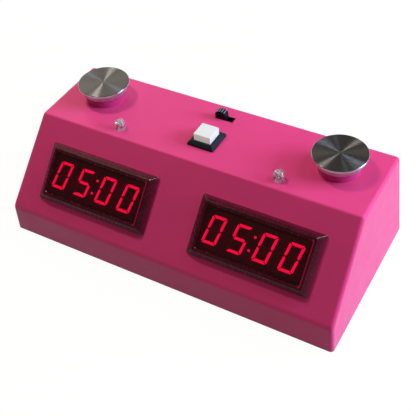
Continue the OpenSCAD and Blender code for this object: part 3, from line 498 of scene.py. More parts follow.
def clearResin(name, colour, roughness, refraction, clear=1.0):
    # cast or moulded clear plastic with a faint ripple
    material, tree, shader = startMaterial(name, {"Transmission Weight": clear, "IOR": refraction})
    colourBetween(tree, shader, noiseOn(tree, resin["blotch"]), shade(colour, resin["dark"]),
                  shade(colour, 1))
    roughBetween(tree, shader, noiseOn(tree, resin["patch"]), roughness, roughness + resin["gloss"])
    bumpFrom(tree, shader, noiseOn(tree, resin["ripple"]), resin["rippleDepth"])
    return material


# case, base plate, feet
casing = {"colour": (0.87, 0.066, 0.268), "slotShadeColour": (0.05, 0.007, 0.022),
          # the darker boss colour is painted shade under the caps, on the same pink moulding
          "bossShadeColour": (0.55, 0.034, 0.21), "roughness": 0.4, "grain": 0.45, "depth": 0.012, "mottle": 0.04,
          "top": 54.5, "bossShadeReach": 12, "slotSeam": 0.1, "upright": 0.5,
          # the bluish Sheen Tint is a painted reflection of cool window light at grazing angles
          "finishAndPaintedSheen": {"Specular Tint": (1.0, 0.12, 0.35, 1), "Sheen Weight": 0.3, "Sheen Roughness": 0.45,
                     "Sheen Tint": (0.5, 0.4, 1.0, 1)}}


def casePlastic(name, colour):
    return mouldedPlastic(name, colour, casing["roughness"], casing["grain"], casing["depth"],
                          casing["mottle"], values=casing["finishAndPaintedSheen"])


slotLow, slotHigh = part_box("power_switch_frame")
capMiddles = [middle(side + "_button_cap") for side in sides]


def casePick(face):
    # the walls of the power switch's slot are dark with painted shade, and the bosses under the caps a deeper
    # pink as painted shade under the caps
    spot = face.calc_center_median()
    upright = abs(face.normal.z) < casing["upright"]
    inSlot = slotLow.x < spot.x < slotHigh.x and slotLow.y < spot.y < slotHigh.y
    if upright and inSlot and spot.z > slotHigh.z - casing["slotSeam"] * mm:
        return 1
    nearCap = min((spot - centre).xy.length for centre in capMiddles)
    return 2 if upright and spot.z > casing["top"] * mm and nearCap < casing["bossShadeReach"] * mm else 0


def makeCase():
    # painted shade: the slot's walls, part of the pink case, are coloured near-black
    slotShadePlastic = mouldedPlastic("slotShadePlastic", casing["slotShadeColour"], roughness=0.6, depth=0.012, mottle=0.1,
                                 blotch=4)
    finishes = [casePlastic("casePlastic", casing["colour"]), slotShadePlastic,
                casePlastic("bossShadePlastic", casing["bossShadeColour"])]
    dressNode("case_shell", "caseMoulding", finishes, "case", "case_plastic", pick=casePick)


makeCase()

under = {"colour": (0.42, 0.03, 0.12), "edge": 0.35, "doorEdge": 0.3}
basePlastic = mouldedPlastic("basePlastic", under["colour"], roughness=0.5, grain=0.6, depth=0.02,
                             mottle=0.06)
dressNode("base_plate", "basePlate", [basePlastic], "case", "base_plastic", under["edge"])
dressNode("battery_door", "batteryDoor", [basePlastic], "battery_door", "base_plastic", under["doorEdge"])

foot = {"colour": (0.025, 0.025, 0.028), "dish": 0.3, "dishRadius": 3.2, "edge": 0.5, "edgeBend": 0.3}
footRubber = mouldedPlastic("footRubber", foot["colour"], roughness=0.78, grain=0.3, depth=0.03, mottle=0.15,
                            blotch=6)


def makeFeet():
    feet = bmesh.new()
    edge = foot["edge"]
    bend = foot["edgeBend"] * edge
    for points in islands("rubber_feet"):
        low, high = pointBox(points)
        centre = (low + high) / 2
        radius = (high.x - low.x) / 2
        one = bmesh.new()
        spinProfile(one, [(0, foot["dish"]), (foot["dishRadius"], foot["dish"]),
                          (foot["dishRadius"] + edge, 0), (radius - edge, 0), (radius - bend, bend),
                          (radius, edge), (radius, high.z), (0, high.z)], 48)
        gather(feet, one, Matrix.Translation((centre.x, centre.y, low.z)))
    finishPiece("rubberFeet", feet, [footRubber], "case", ("rubber_feet",))


makeFeet()
print("case, base and feet done")

# screws with a cross recess; the last row holds shares of a radius
screw = {"steel": (0.55, 0.55, 0.56), "roughness": 0.32, "sides": 24, "headHeight": 1.4, "deep": 0.8,
         "tip": 0.6, "crown": (0.1, 0.35),
         "arm": 0.2, "reach": 0.62, "floor": 0.8, "flat": 0.86, "shoulder": 0.9374, "tipShare": 0.45}
screwSteel = platedMetal("screwSteel", screw["steel"], screw["roughness"])
down = Vector((0, 0, -1))
screwNodes = {"base_screws": ("case", down), "control_board_screws": ("case", down),
              "display_board_screws": ("case", -slopeOut), "tray_screws": ("case", -down),
              "left_cap_screw": ("left_button", down), "right_cap_screw": ("right_button", down)}


def crossSheet(bm, reach, arm):
    # a flat cross: a grid of nine faces with narrow middle rows, less its corners
    bmesh.ops.create_grid(bm, x_segments=3, y_segments=3, size=reach)
    for vert in bm.verts:
        for axis in (0, 1):
            if abs(vert.co[axis]) < reach - steps["near"]:
                vert.co[axis] = math.copysign(arm, vert.co[axis])
    corners = [f for f in bm.faces if all(abs(c) > arm for c in f.calc_center_median().xy)]
    bmesh.ops.delete(bm, geom=corners, context="FACES")
    return list(bm.faces)


def crossScrew(headRadius, shaftRadius, length):
    # head face at z 0, shaft downwards
    bm = bmesh.new()
    cross = crossSheet(bm, screw["reach"] * headRadius, screw["arm"] * headRadius)
    crossEdge = [e for e in bm.edges if e.is_boundary]
    bmesh.ops.create_circle(bm, segments=screw["sides"], radius=screw["flat"] * headRadius)
    edge = [e for e in bm.edges if e.is_wire]
    bmesh.ops.bridge_loops(bm, edges=crossEdge + edge)  # its faces fold over the recess, and hide it
    sunk = vertsOf(bmesh.ops.extrude_face_region(bm, geom=cross)["geom"])
    bmesh.ops.scale(bm, vec=(screw["floor"], screw["floor"], 1), verts=sunk)
    bmesh.ops.translate(bm, vec=(0, 0, -screw["deep"]), verts=sunk)
    bmesh.ops.delete(bm, geom=[f for f in cross if f.is_valid], context="FACES_ONLY")
    edge = extendLoop(bm, edge, -screw["crown"][0], screw["shoulder"] / screw["flat"])
    edge = extendLoop(bm, edge, -screw["crown"][1], 1 / screw["shoulder"])
    edge = extendLoop(bm, edge, -screw["headHeight"])
    edge = extendLoop(bm, edge, -screw["headHeight"], shaftRadius / headRadius)
    edge = extendLoop(bm, edge, screw["tip"] - length)
    edge = extendLoop(bm, edge, -length, screw["tipShare"])
    bmesh.ops.contextual_create(bm, geom=edge)
    bmesh.ops.recalc_face_normals(bm, faces=bm.faces)
    return bm


def makeScrews(node, body, towards):
    # each screw's size and place come from its solid in the node
    group = bmesh.new()
    facing = towards.to_track_quat("Z", "Y").to_matrix().to_4x4()
    for points in islands(node):
        points = [p / mm for p in points]
        along = [p.dot(towards) for p in points]
        axis = sum(points, Vector()) / len(points)
        axis -= towards * axis.dot(towards)
        reach = [(p - towards * a - axis).length for p, a in zip(points, along)]
        atTip = [r for r, a in zip(reach, along) if a < min(along) + steps["near"]]
        one = crossScrew(max(reach), max(atTip), max(along) - min(along))
        gather(group, one, Matrix.Translation(axis + towards * max(along)) @ facing)
    first, *others = node.split("_")
    name = first + "".join(word.title() for word in others)
    finishPiece(name, group, [screwSteel], body, (node,))


for node, (body, towards) in screwNodes.items():
    makeScrews(node, body, towards)
print("screws done")

# display bezels: a tapered red-tinted frame with a flat rim, a pocket for the filter and a collar
bezel = {"width": 62.4, "height": 29.4, "corner": 1.1, "foot": 0.8, "proud": 4.0, "up": 24.0,
         "topWidth": 55.6, "topHeight": 24.3, "rim": 1.6, "ledgeAt": 2.3, "ledge": 0.75,
         "collarWidth": 53.9, "collarHeight": 22.6, "collarDepth": 3.8,
         "edge": 0.3, "rounding": ((0.9, 1.0), (0.25, 0.3), (-0.5, 0)),
         "innerEdge": 0.8, "inside": ((0, 0.9), (-0.3, 0.25), (-1, 0)),
         "seam": 0.01, "glowReach": 0.6, "glowFoot": 0.05, "thickAt": 2.8, "crestOut": 0.2, "crestUp": 0.3,
         "colour": (0.068, 0.003, 0.013), "thinLightColour": (0.19, 0.007, 0.045),
         "footLightColour": (0.30, 0.004, 0.05), "glowColour": (0.10, 0.002, 0.012), "glow": (0.12, 0.0, 0.016, 1)}
bezelPlastic = mouldedPlastic("bezelPlastic", bezel["colour"], roughness=0.26, mottle=0.25, blotch=5,
                              values={"Specular IOR Level": 0.18})
bezelCrest = mouldedPlastic("bezelCrest", bezel["colour"], roughness=0.14, depth=0.006, mottle=0.2, blotch=5,
                            values={"Specular IOR Level": 1.0})
# the foot's brighter crimson is painted light showing through the thin plastic
bezelFootLight = mouldedPlastic("bezelFootLight", bezel["footLightColour"], roughness=0.35, grain=0.7, mottle=0.12, blotch=8)
# painted light: the wall at the window's right glows red by emission, though it is no lamp
bezelPaintedGlow = mouldedPlastic("bezelPaintedGlow", bezel["glowColour"], roughness=0.5, grain=0.7, mottle=0.12, blotch=8,
                           values={"Specular IOR Level": 0.2, "Emission Color": bezel["glow"],
                                   "Emission Strength": 1.0})


def thinEdgeLight(material):
    # redder towards the foot, where the tinted plastic is thin: painted light showing through thin plastic; a
    # colour mix has inputs 6 and 7, output 2
    tree = material.node_tree
    shader = tree.nodes["Principled BSDF"]
    base = shader.inputs["Base Color"].links[0].from_node
    face = slopeOut.dot(slopeFrame.translation)
    place = addNode(tree, "ShaderNodeTexCoord")
    height = addVector(tree, "DOT_PRODUCT", {1: slopeOut})
    share = addNode(tree, "ShaderNodeMapRange", {"From Min": face + bezel["foot"] * mm,
                                                 "From Max": face + bezel["thickAt"] * mm})
    tint = addNode(tree, "ShaderNodeMix", {6: (*bezel["thinLightColour"], 1)}, data_type="RGBA")
    wire(tree, (place, "Object", height, 0), (height, "Value", share, "Value"), (share, "Result", tint, 0),
         (base, "Color", tint, 7), (tint, 2, shader, "Base Color"))


thinEdgeLight(bezelPlastic)


def bezelPick(face, pocketWidth):
    # the foot with painted light through thin plastic, the wall at the window's right with a painted red
    # glow, and the edges that face up and to the right
    spot = face.calc_center_median()
    if bezel["seam"] < spot.z < bezel["foot"] - bezel["seam"]:
        return 1
    inPocket = bezel["ledgeAt"] + bezel["glowFoot"] < spot.z < bezel["proud"] - bezel["seam"]
    if inPocket and abs(spot.x - pocketWidth / 2) < bezel["glowReach"]:
        return 2
    crest = min(face.normal.x, face.normal.y) > bezel["crestOut"] and face.normal.z > bezel["crestUp"]
    return 3 if crest and spot.z > bezel["foot"] else 0


def bezelFrame():
    # outlines from the foot over the rounded rim and down the window: size, how far it grows, height
    foot = (bezel["width"], bezel["height"])
    top = (bezel["topWidth"], bezel["topHeight"])
    pocket = tuple(size - 2 * bezel["rim"] for size in top)
    opening = tuple(size - 2 * bezel["ledge"] for size in pocket)
    edge, inner, proud = bezel["edge"], bezel["innerEdge"], bezel["proud"]
    outlines = [(foot, 0, bezel["foot"])]
    outlines += [(top, edge * out, proud - edge * drop) for out, drop in bezel["rounding"]]
    outlines += [(pocket, -inner * out, proud - inner * drop) for out, drop in reversed(bezel["inside"])]
    outlines += [(pocket, 0, bezel["ledgeAt"]), (opening, 0, bezel["ledgeAt"]),
                 (opening, 0, -bezel["collarDepth"])]
    bm = bmesh.new()
    face = roundedRect(bm, *foot, bezel["corner"], 0)
    size = Vector(foot)
    for outline, grow, z in outlines:
        wanted = Vector(outline) + Vector((2 * grow, 2 * grow))
        face = raiseFace(bm, face, z, (wanted.x / size.x, wanted.y / size.y))
        size = wanted
    bmesh.ops.delete(bm, geom=[face], context="FACES_ONLY")
    inwards = (bezel["collarWidth"] / foot[0], bezel["collarHeight"] / foot[1])
    collar = extendLoop(bm, openLoop(bm, 0), 0, inwards)
    extendLoop(bm, collar, -bezel["collarDepth"])
    bmesh.ops.bridge_loops(bm, edges=openLoop(bm, -bezel["collarDepth"]))
    bmesh.ops.recalc_face_normals(bm, faces=bm.faces)
    paint(bm, lambda face: bezelPick(face, pocket[0]))
    return bm


# filter, display module and its segments
window = {"filterColour": (0.58, 0.016, 0.125), "filterRough": 0.06, "filterIor": 1.34, "filterCorner": 0.4,
          "filterThick": 1.2, "filterGap": 0.1, "filterEdge": 0.12, "faceColour": (0.13, 0.06, 0.26),
          "unlit": (0.20, 0.15, 0.17), "litBase": (0.5, 0.01, 0.03), "lit": (1.0, 0.0, 0.24),
          "litStrength": 1.5, "litDrift": 0.15, "litPatch": 1.2, "litMottle": 0.1, "litBlotch": 2}
filterPlastic = clearResin("filterPlastic", window["filterColour"], window["filterRough"],
                           window["filterIor"])
modulePlastic = mouldedPlastic("modulePlastic", window["faceColour"], roughness=0.5, grain=0.4, mottle=0.2,
                               blotch=6)
darkSegment = mouldedPlastic("darkSegment", window["unlit"], roughness=0.55, grain=0.3, mottle=0.1, blotch=3)


def litSegmentGlow():
    material, tree, shader = startMaterial("litSegment", {"Emission Color": (*window["lit"], 1),
                                                          "Roughness": 0.4})
    base, mottle = window["litBase"], window["litMottle"]
    strength, drift = window["litStrength"], window["litDrift"]
    colourBetween(tree, shader, noiseOn(tree, window["litBlotch"]), shade(base, 1 - mottle),
                  shade(base, 1 + mottle))
    level = addNode(tree, "ShaderNodeMapRange", {"To Min": (1 - drift) * strength,
                                                 "To Max": (1 + drift) * strength})
    tree.links.new(noiseOn(tree, window["litPatch"]), level.inputs["Value"])
    wire(tree, (level, "Result", shader, "Emission Strength"))
    return material


litSegment = litSegmentGlow()


def makeFilter(side, place):
    bm = bmesh.new()
    margin = 2 * (bezel["rim"] + window["filterGap"])
    face = roundedRect(bm, bezel["topWidth"] - margin, bezel["topHeight"] - margin, window["filterCorner"],
                       bezel["ledgeAt"])
    face.copy()  # stays as the back
    face = raiseFace(bm, face, bezel["ledgeAt"] + window["filterThick"])
    bmesh.ops.remove_doubles(bm, verts=bm.verts, dist=steps["merge"])
    bmesh.ops.recalc_face_normals(bm, faces=bm.faces)
    roundEdges(bm, face.edges, window["filterEdge"], 2)
    finishPiece(side + "Filter", bm, [filterPlastic], "case", (side + "_filter",), place)


def makeDisplays():
    for side in sides:
        across = middle(side + "_bezel").x / mm
        place = slopeFrame @ Matrix.Translation((across, bezel["up"], 0))
        finishPiece(side + "Bezel", bezelFrame(), [bezelPlastic, bezelFootLight, bezelPaintedGlow, bezelCrest], "case",
                    (side + "_bezel",), place)
        makeFilter(side, place)
        dressNode(side + "_display_module", side + "DisplayModule", [modulePlastic], "case", "module_plastic")
        dressNode(side + "_lit_segments", side + "LitSegments", [litSegment], "case", "segment_lit")
        dressNode(side + "_dark_segments", side + "DarkSegments", [darkSegment], "case", "segment_dark")


makeDisplays()
print("displays done")

# turned metal caps of the player buttons
cap = {"radius": 13.1, "top": 63.8, "chamfer": 0.22, "rim": 1.0, "under": 59.3, "taperTo": 11.3, "stem": 7.8,
       "foot": 52.2, "bore": 1.18, "boreTop": 56.6, "boreTip": 0.5, "soft": 0.08, "bend": 0.032,
       "colour": (0.180, 0.179, 0.197), "roughness": 0.31, "sideColour": (0.56, 0.55, 0.60), "sideRough": 0.5,
       "edgeColour": (0.30, 0.295, 0.32), "edgeRough": 0.22, "scratch": 0.0006,
       "faceUp": 0.9, "chamferUp": 0.1}


def capProfile():
    # from the middle of the face round the chamfer, the rim and the tapered underside to the screw's bore
    soft, bend, radius = cap["soft"], cap["bend"], cap["radius"]
    top, under = cap["top"], cap["under"]
    inner = radius - cap["chamfer"]
    outer = top - cap["chamfer"]
    rim = top - cap["rim"]
    return [(0, top), (inner - soft, top), (inner, top - bend), (radius - bend, outer),
            (radius, outer - soft), (radius, rim + soft), (radius - soft, rim - soft),
            (cap["taperTo"] + soft, under + bend), (cap["taperTo"] - soft, under),
            (cap["stem"] + soft, under), (cap["stem"], under - soft), (cap["stem"], cap["foot"]),
            (cap["bore"], cap["foot"]), (cap["bore"], cap["boreTop"]), (0, cap["boreTop"] + cap["boreTip"])]


def capPick(face):
    # the flat face, the chamfer, and the rim with all below it
    if face.normal.z > cap["faceUp"]:
        return 0
    return 2 if face.normal.z > cap["chamferUp"] else 1


def makeCaps():
    for side in sides:
        centre = middle(side + "_button_cap")
        centre.z = 0
        finishes = [turnedMetal(side + "TurnedFace", cap["colour"], cap["roughness"], centre),
                    platedMetal(side + "TurnedSide", cap["sideColour"], cap["sideRough"], cap["scratch"]),
                    platedMetal(side + "TurnedEdge", cap["edgeColour"], cap["edgeRough"], cap["scratch"])]
        bm = bmesh.new()
        spinProfile(bm, capProfile(), 128)
        paint(bm, capPick)
        finishPiece(side + "ButtonCap", bm, finishes, side + "_button", (side + "_button_cap",),
                    Matrix.Translation(centre) @ mmFrame, smooth=20)


makeCaps()
print("caps done")

# clear lamps with their lead frames
# the pink-lilac tints of the clear resin, the lead metal and the pale seat are painted reflection of the pink
# case seen in and through the lamp
lamp = {"radius": 2.5, "top": 60.0, "dome": 2.1, "domeSteps": 10, "flange": 2.9, "flangeLow": 51.3,
        "flangeHigh": 52.3, "resin": (0.97, 0.86, 0.97), "resinRough": 0.03, "resinIor": 1.45, "clear": 0.92,
        "metal": (0.74, 0.65, 0.72), "seat": 54.0, "seatRadius": 2.3, "pale": (0.92, 0.60, 0.76)}
lampResin = clearResin("lampResin", lamp["resin"], lamp["resinRough"], lamp["resinIor"], lamp["clear"])
leadMetal = platedMetal("leadMetal", lamp["metal"], roughness=0.25)
lampSeat = mouldedPlastic("lampSeat", lamp["pale"], roughness=0.6, grain=0.4, blotch=4)


def lampProfile():
    shoulder = lamp["top"] - lamp["dome"]
    angles = [math.radians(90 * i / lamp["domeSteps"]) for i in range(1, lamp["domeSteps"])]
    arc = [(lamp["radius"] * math.cos(a), shoulder + lamp["dome"] * math.sin(a)) for a in angles]
    low, high = lamp["flangeLow"], lamp["flangeHigh"]
    return ([(0, low), (lamp["flange"], low), (lamp["flange"], high), (lamp["radius"], high),
             (lamp["radius"], shoulder)] + arc + [(0, lamp["top"])])


# the frame in a lamp: two posts, one with a cup and a chip in it, and the fine wire between them
lead = {"at": 1.016, "thick": 0.5, "lean": 0.35, "splay": (1.6, 1.3), "headAt": 0.66, "postTop": 57.2,
        "cupAt": -0.45, "cupFoot": 56.0, "cupTop": 57.3, "cupRadius": 1.2, "cupBase": 0.8, "cupFloor": 0.45,
        "cupDip": 0.1, "cupWall": 0.12, "floorUp": 0.4, "chip": 0.35, "chipUp": 0.58, "wire": 0.06,
        "wireUp": 0.7, "wireHub": 0.12, "wireTurn": 120}


def addPosts(bm):
    for side, top in ((-1, lead["cupFoot"]), (1, lead["postTop"])):
        height = top - lamp["flangeLow"]
        made = blockOf(bm, (lead["thick"], lead["thick"], height),
                       (side * lead["at"], 0, lamp["flangeLow"] + height / 2))
        upper = [v for v in made if v.co.z > top - lead["thick"] / 2]
        bmesh.ops.translate(bm, vec=(-side * lead["lean"], 0, 0), verts=upper)
        bmesh.ops.scale(bm, vec=(*lead["splay"], 1), space=Matrix.Translation((side * lead["headAt"], 0, 0)),
                        verts=upper)


def addWire(bm):
    up = lead["cupFoot"] + lead["wireUp"]
    start = bmesh.ops.create_circle(bm, cap_ends=True, segments=8, radius=lead["wire"],
                                    matrix=Matrix.Translation((lead["cupAt"], 0, up)))["verts"]
    loop = list(start[0].link_faces[0].edges)
    last = bmesh.ops.spin(bm, geom=start + loop, cent=(lead["wireHub"], 0, up), axis=(0, 1, 0),
                          angle=math.radians(lead["wireTurn"]), steps=10)["geom_last"]
    bmesh.ops.contextual_create(bm, geom=edgesOf(last))


def leadFrame():
    bm = bmesh.new()
    addPosts(bm)
    foot, wide, floor = lead["cupFoot"], lead["cupRadius"], lead["cupFoot"] + lead["floorUp"]
    cup = bmesh.new()
    spinProfile(cup, [(0, foot - lead["cupDip"]), (wide * lead["cupBase"], foot), (wide, lead["cupTop"]),
                      (wide - lead["cupWall"], lead["cupTop"]), (wide * lead["cupFloor"], floor),
                      (0, floor)], 32)
    gather(bm, cup, Matrix.Translation((lead["cupAt"], 0, 0)))
    blockOf(bm, (lead["chip"],) * 3, (lead["cupAt"], 0, foot + lead["chipUp"]))
    # the pale seat at the lamp's base is painted light under the lens
    seat = bmesh.new()
    spinProfile(seat, [(0, lamp["flangeHigh"]), (lamp["seatRadius"], lamp["flangeHigh"]),
                       (lamp["seatRadius"], lamp["seat"]), (0, lamp["seat"])], 32)
    paint(seat, lambda face: 1)
    gather(bm, seat)
    addWire(bm)
    bmesh.ops.recalc_face_normals(bm, faces=bm.faces)
    return bm


def makeLamps():
    for side in sides:
        centre = middle(side + "_lamp")
        centre.z = 0
        place = Matrix.Translation(centre) @ mmFrame
        lens = bmesh.new()
        spinProfile(lens, lampProfile(), 64)
        finishPiece(side + "LampLens", lens, [lampResin], "case", (side + "_lamp",), place)
        finishPiece(side + "LampFrame", leadFrame(), [leadMetal, lampSeat], "case", (), place)
    dressNode("lamp_leads", "lampLeads", [leadMetal], "case", "screw_steel", 0.08)


makeLamps()
print("lamps done")

# mode button and power knob
mode = {"bezelColour": (0.008, 0.014, 0.026), "capColour": (0.53, 0.61, 0.69), "glow": (1.0, 0.91, 0.82, 1),
        "paintedGlowLevel": 0.32, "bezelEdge": 0.3, "capEdge": 0.8}
modeBezel = mouldedPlastic("modeBezel", mode["bezelColour"], roughness=0.5, depth=0.012, mottle=0.12,
                           blotch=10, values={"Specular IOR Level": 0.17})
# painted light: the cap's warm emission brightens its shaded faces, though it is no lamp
modeCap = mouldedPlastic("modeCap", mode["capColour"], roughness=0.38, grain=0.6, depth=0.008, mottle=0.03,
                         blotch=6, values={"Emission Color": mode["glow"],
                                           "Emission Strength": mode["paintedGlowLevel"]})
dressNode("mode_button_housing", "modeBezel", [modeBezel], "case", "mode_bezel_plastic", mode["bezelEdge"], 3)
dressNode("mode_button_cap", "modeCap", [modeCap], "mode_button", "mode_cap_plastic", mode["capEdge"], 4)

power = {"knobColour": (0.004, 0.005, 0.012), "ribHighlightColour": (0.16, 0.21, 0.28), "length": 5.6, "depth": 3.4,
         "shoulder": 57.6, "top": 58.8, "edge": 0.12, "ribs": 4, "ribStep": 19, "ribWide": 0.5,
         "ribHigh": 0.2, "ribInset": 0.15, "ribEdge": 0.1, "frameMetal": (0.62, 0.62, 0.60),
         "frameEdge": 0.15}
knobPlastic = mouldedPlastic("knobPlastic", power["knobColour"], roughness=0.45, grain=0.35, depth=0.012,
                             mottle=0.15, blotch=4, values={"Specular IOR Level": 0.12})
# the ribs' lighter bluish colour is a painted highlight, where the ribs catch the light
knobRibHighlight = mouldedPlastic("knobRibHighlight", power["ribHighlightColour"], roughness=0.45, grain=0.35, depth=0.004, mottle=0.15,
                         blotch=4)
switchMetal = platedMetal("switchMetal", power["frameMetal"], roughness=0.35)


def knobSlider(bottom, hub, radius):
    # upright slider with a domed top, about the origin in x and y
    half, deep = power["length"] / 2, power["depth"]
    bm = bmesh.new()
    rim = [bm.verts.new((half, -deep / 2, power["shoulder"]))]
    arc = bmesh.ops.spin(bm, geom=rim, cent=(0, 0, hub), axis=(0, 1, 0), angle=-2 * math.asin(half / radius),
                         steps=20)["geom_last"]
    feet = [bm.verts.new((side * half, -deep / 2, bottom)) for side in (-1, 1)]
    for pair in ((arc[0], feet[0]), (feet[0], feet[1]), (feet[1], rim[0])):
        bm.edges.new(pair)
    face = bmesh.ops.contextual_create(bm, geom=list(bm.edges))["faces"]
    moved = bmesh.ops.extrude_face_region(bm, geom=face)["geom"]
    bmesh.ops.translate(bm, vec=(0, deep, 0), verts=vertsOf(moved))
    bmesh.ops.recalc_face_normals(bm, faces=bm.faces)
    roundEdges(bm, sharpEdges(bm), power["edge"], 2)
    return bm


def knobRibs(bm, hub, radius):
    # grip ribs across the dome
    size = (power["ribWide"], power["depth"] - 2 * power["ribInset"], 2 * power["ribHigh"])
    for i in range(power["ribs"]):
        rib = bmesh.new()
        blockOf(rib, size, (0, 0, 0))
        roundEdges(rib, rib.edges, power["ribEdge"], 2)
        # the ribs take the painted highlight material
        paint(rib, lambda face: 1)
        lean = turn((i - (power["ribs"] - 1) / 2) * power["ribStep"], "Y")
        gather(bm, rib, Matrix.Translation((0, 0, hub)) @ lean @ Matrix.Translation((0, 0, radius)))


def makeKnob():
    low, high = boxInMm("power_switch_knob")
    centre = (low + high) / 2
    half = power["length"] / 2
    sag = power["top"] - power["shoulder"]
    radius = (half * half + sag * sag) / (2 * sag)
    hub = power["top"] - radius
    bm = knobSlider(low.z, hub, radius)
    # the wide foot runs in the frame, and is as high as the solid's own
    beside = power["depth"] / 2 + steps["near"]
    footTop = max(v.co.z for v in nodes["power_switch_knob"].data.vertices
                  if abs(v.co.y / mm - centre.y) > beside) / mm
    blockOf(bm, (high.x - low.x, high.y - low.y, footTop - low.z), (0, 0, (footTop + low.z) / 2))
    knobRibs(bm, hub, radius)
    finishPiece("powerKnob", bm, [knobPlastic, knobRibHighlight], "power_knob", ("power_switch_knob",),
                mmFrame @ Matrix.Translation((centre.x, centre.y, 0)))


makeKnob()
dressNode("power_switch_frame", "powerFrame", [switchMetal], "case", "switch_metal", power["frameEdge"])
print("mode button and power knob done")

# springs of the buttons: a coil with closed ends
coil = {"steel": (0.58, 0.58, 0.60), "roughness": 0.28, "wireSides": 10, "turnSteps": 36, "closedTurns": 0.75,
        "closedPitch": 1.02}
springSteel = platedMetal("springSteel", coil["steel"], coil["roughness"])
springs = {"left": {"thick": 0.9, "turns": 4}, "right": {"thick": 0.9, "turns": 4},
           "mode": {"thick": 0.5, "turns": 7}}


def coilTurns(bm, loop, turns, rise):
    count = max(2, round(turns * coil["turnSteps"]))
    made = bmesh.ops.spin(bm, geom=loop, cent=(0, 0, 0), axis=(0, 0, 1), angle=math.tau * turns, steps=count,
                          dvec=(0, 0, rise / count))
    return made["geom_last"]


def makeSpring(button, thick, turns):
    node, joint = button + "_button_spring", button + "_button_press"
    low, high = boxInMm(node)
    centre = (low + high) / 2
    radius = (high.x - low.x - thick) / 2
    closed = coil["closedTurns"]
    closedRise = closed * thick * coil["closedPitch"]
    bm = bmesh.new()
    ring = bmesh.ops.create_circle(bm, cap_ends=True, segments=coil["wireSides"], radius=thick / 2,
                                   matrix=turn(90, "X"))["verts"]
    bmesh.ops.translate(bm, vec=(radius, 0, thick / 2), verts=ring)
    loop = coilTurns(bm, ring + list(ring[0].link_faces[0].edges), closed, closedRise)
    loop = coilTurns(bm, loop, turns - 2 * closed, high.z - low.z - thick - 2 * closedRise)
    loop = coilTurns(bm, loop, closed, closedRise)
    bmesh.ops.contextual_create(bm, geom=edgesOf(loop))
    bmesh.ops.recalc_face_normals(bm, faces=bm.faces)
    piece = finishPiece(button + "Spring", bm, [springSteel], "case", (node,),
                        mmFrame @ Matrix.Translation((centre.x, centre.y, low.z)), smooth=60, weighted=False)
    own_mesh(piece)


for button, values in springs.items():
    makeSpring(button, **values)
print("springs done")

# circuit boards: green lacquer over copper tracks
board = {"lacquer": (0.012, 0.11, 0.045), "track": (0.035, 0.20, 0.08), "trackSpan": (0.2, 0.3), "grid": 3.2,
         "scatter": 0.8, "waves": 9.0, "depth": 0.02, "patch": 4, "rough": (0.3, 0.42), "edge": 0.12}


def boardLacquer(name, tilt):
    material, tree, shader = startMaterial(name, {})
    place = addNode(tree, "ShaderNodeTexCoord")
    level = addNode(tree, "ShaderNodeMapping", {"Rotation": (-math.radians(tilt), 0, 0)}, vector_type="POINT")
    tracks = addNode(tree, "ShaderNodeTexVoronoi",
                     {"Scale": 1 / (board["grid"] * mm), "Randomness": board["scatter"]},
                     feature="F1", distance="MANHATTAN", voronoi_dimensions="2D")
    wave = addMath(tree, "MULTIPLY", {1: board["waves"]})
    stripes = addMath(tree, "PINGPONG", {1: 0.5})
    wire(tree, (place, "Object", level, "Vector"), (level, "Vector", tracks, "Vector"),
         (tracks, "Distance", wave, 0), (wave, 0, stripes, 0))
    colourBetween(tree, shader, stripes.outputs[0], shade(board["lacquer"], 1), shade(board["track"], 1),
                  board["trackSpan"])
    roughBetween(tree, shader, noiseOn(tree, board["patch"]), *board["rough"])
    bumpFrom(tree, shader, stripes.outputs[0], board["depth"])
    return material


for name, tilt in (("control", 0), ("display", slope["angle"])):
    lacquer = boardLacquer(name + "Lacquer", tilt)
    dressNode(name + "_board", name + "Board", [lacquer], "case", "board_laminate", board["edge"])
print("boards done")

# plain inner mouldings and small board pieces
inner = {"black": (0.028, 0.028, 0.030), "ivory": (0.70, 0.67, 0.58), "chip": (0.02, 0.02, 0.021),
         "pin": (0.80, 0.62, 0.28), "can": (0.66, 0.66, 0.64), "contact": (0.70, 0.70, 0.69), "chipHalf": 5.0}
innerPlastic = mouldedPlastic("innerPlastic", inner["black"], roughness=0.5, depth=0.015, mottle=0.15,
                              blotch=8)
actuatorPlastic = mouldedPlastic("actuatorPlastic", inner["ivory"], roughness=0.45, blotch=4)
chipPlastic = mouldedPlastic("chipPlastic", inner["chip"], roughness=0.55, grain=0.25, depth=0.02,
                             mottle=0.15, blotch=4)
pinMetal = platedMetal("pinMetal", inner["pin"], roughness=0.28)
canMetal = platedMetal("canMetal", inner["can"], roughness=0.26)
contactMetal = platedMetal("contactMetal", inner["contact"], roughness=0.3)


def chipPick(face):
    # legs stand out beyond the body on its sides
    spot = (face.calc_center_median() - middle("microcontroller")) / mm
    return 1 if max(abs(spot.x), abs(spot.y)) > inner["chipHalf"] + steps["near"] else 0


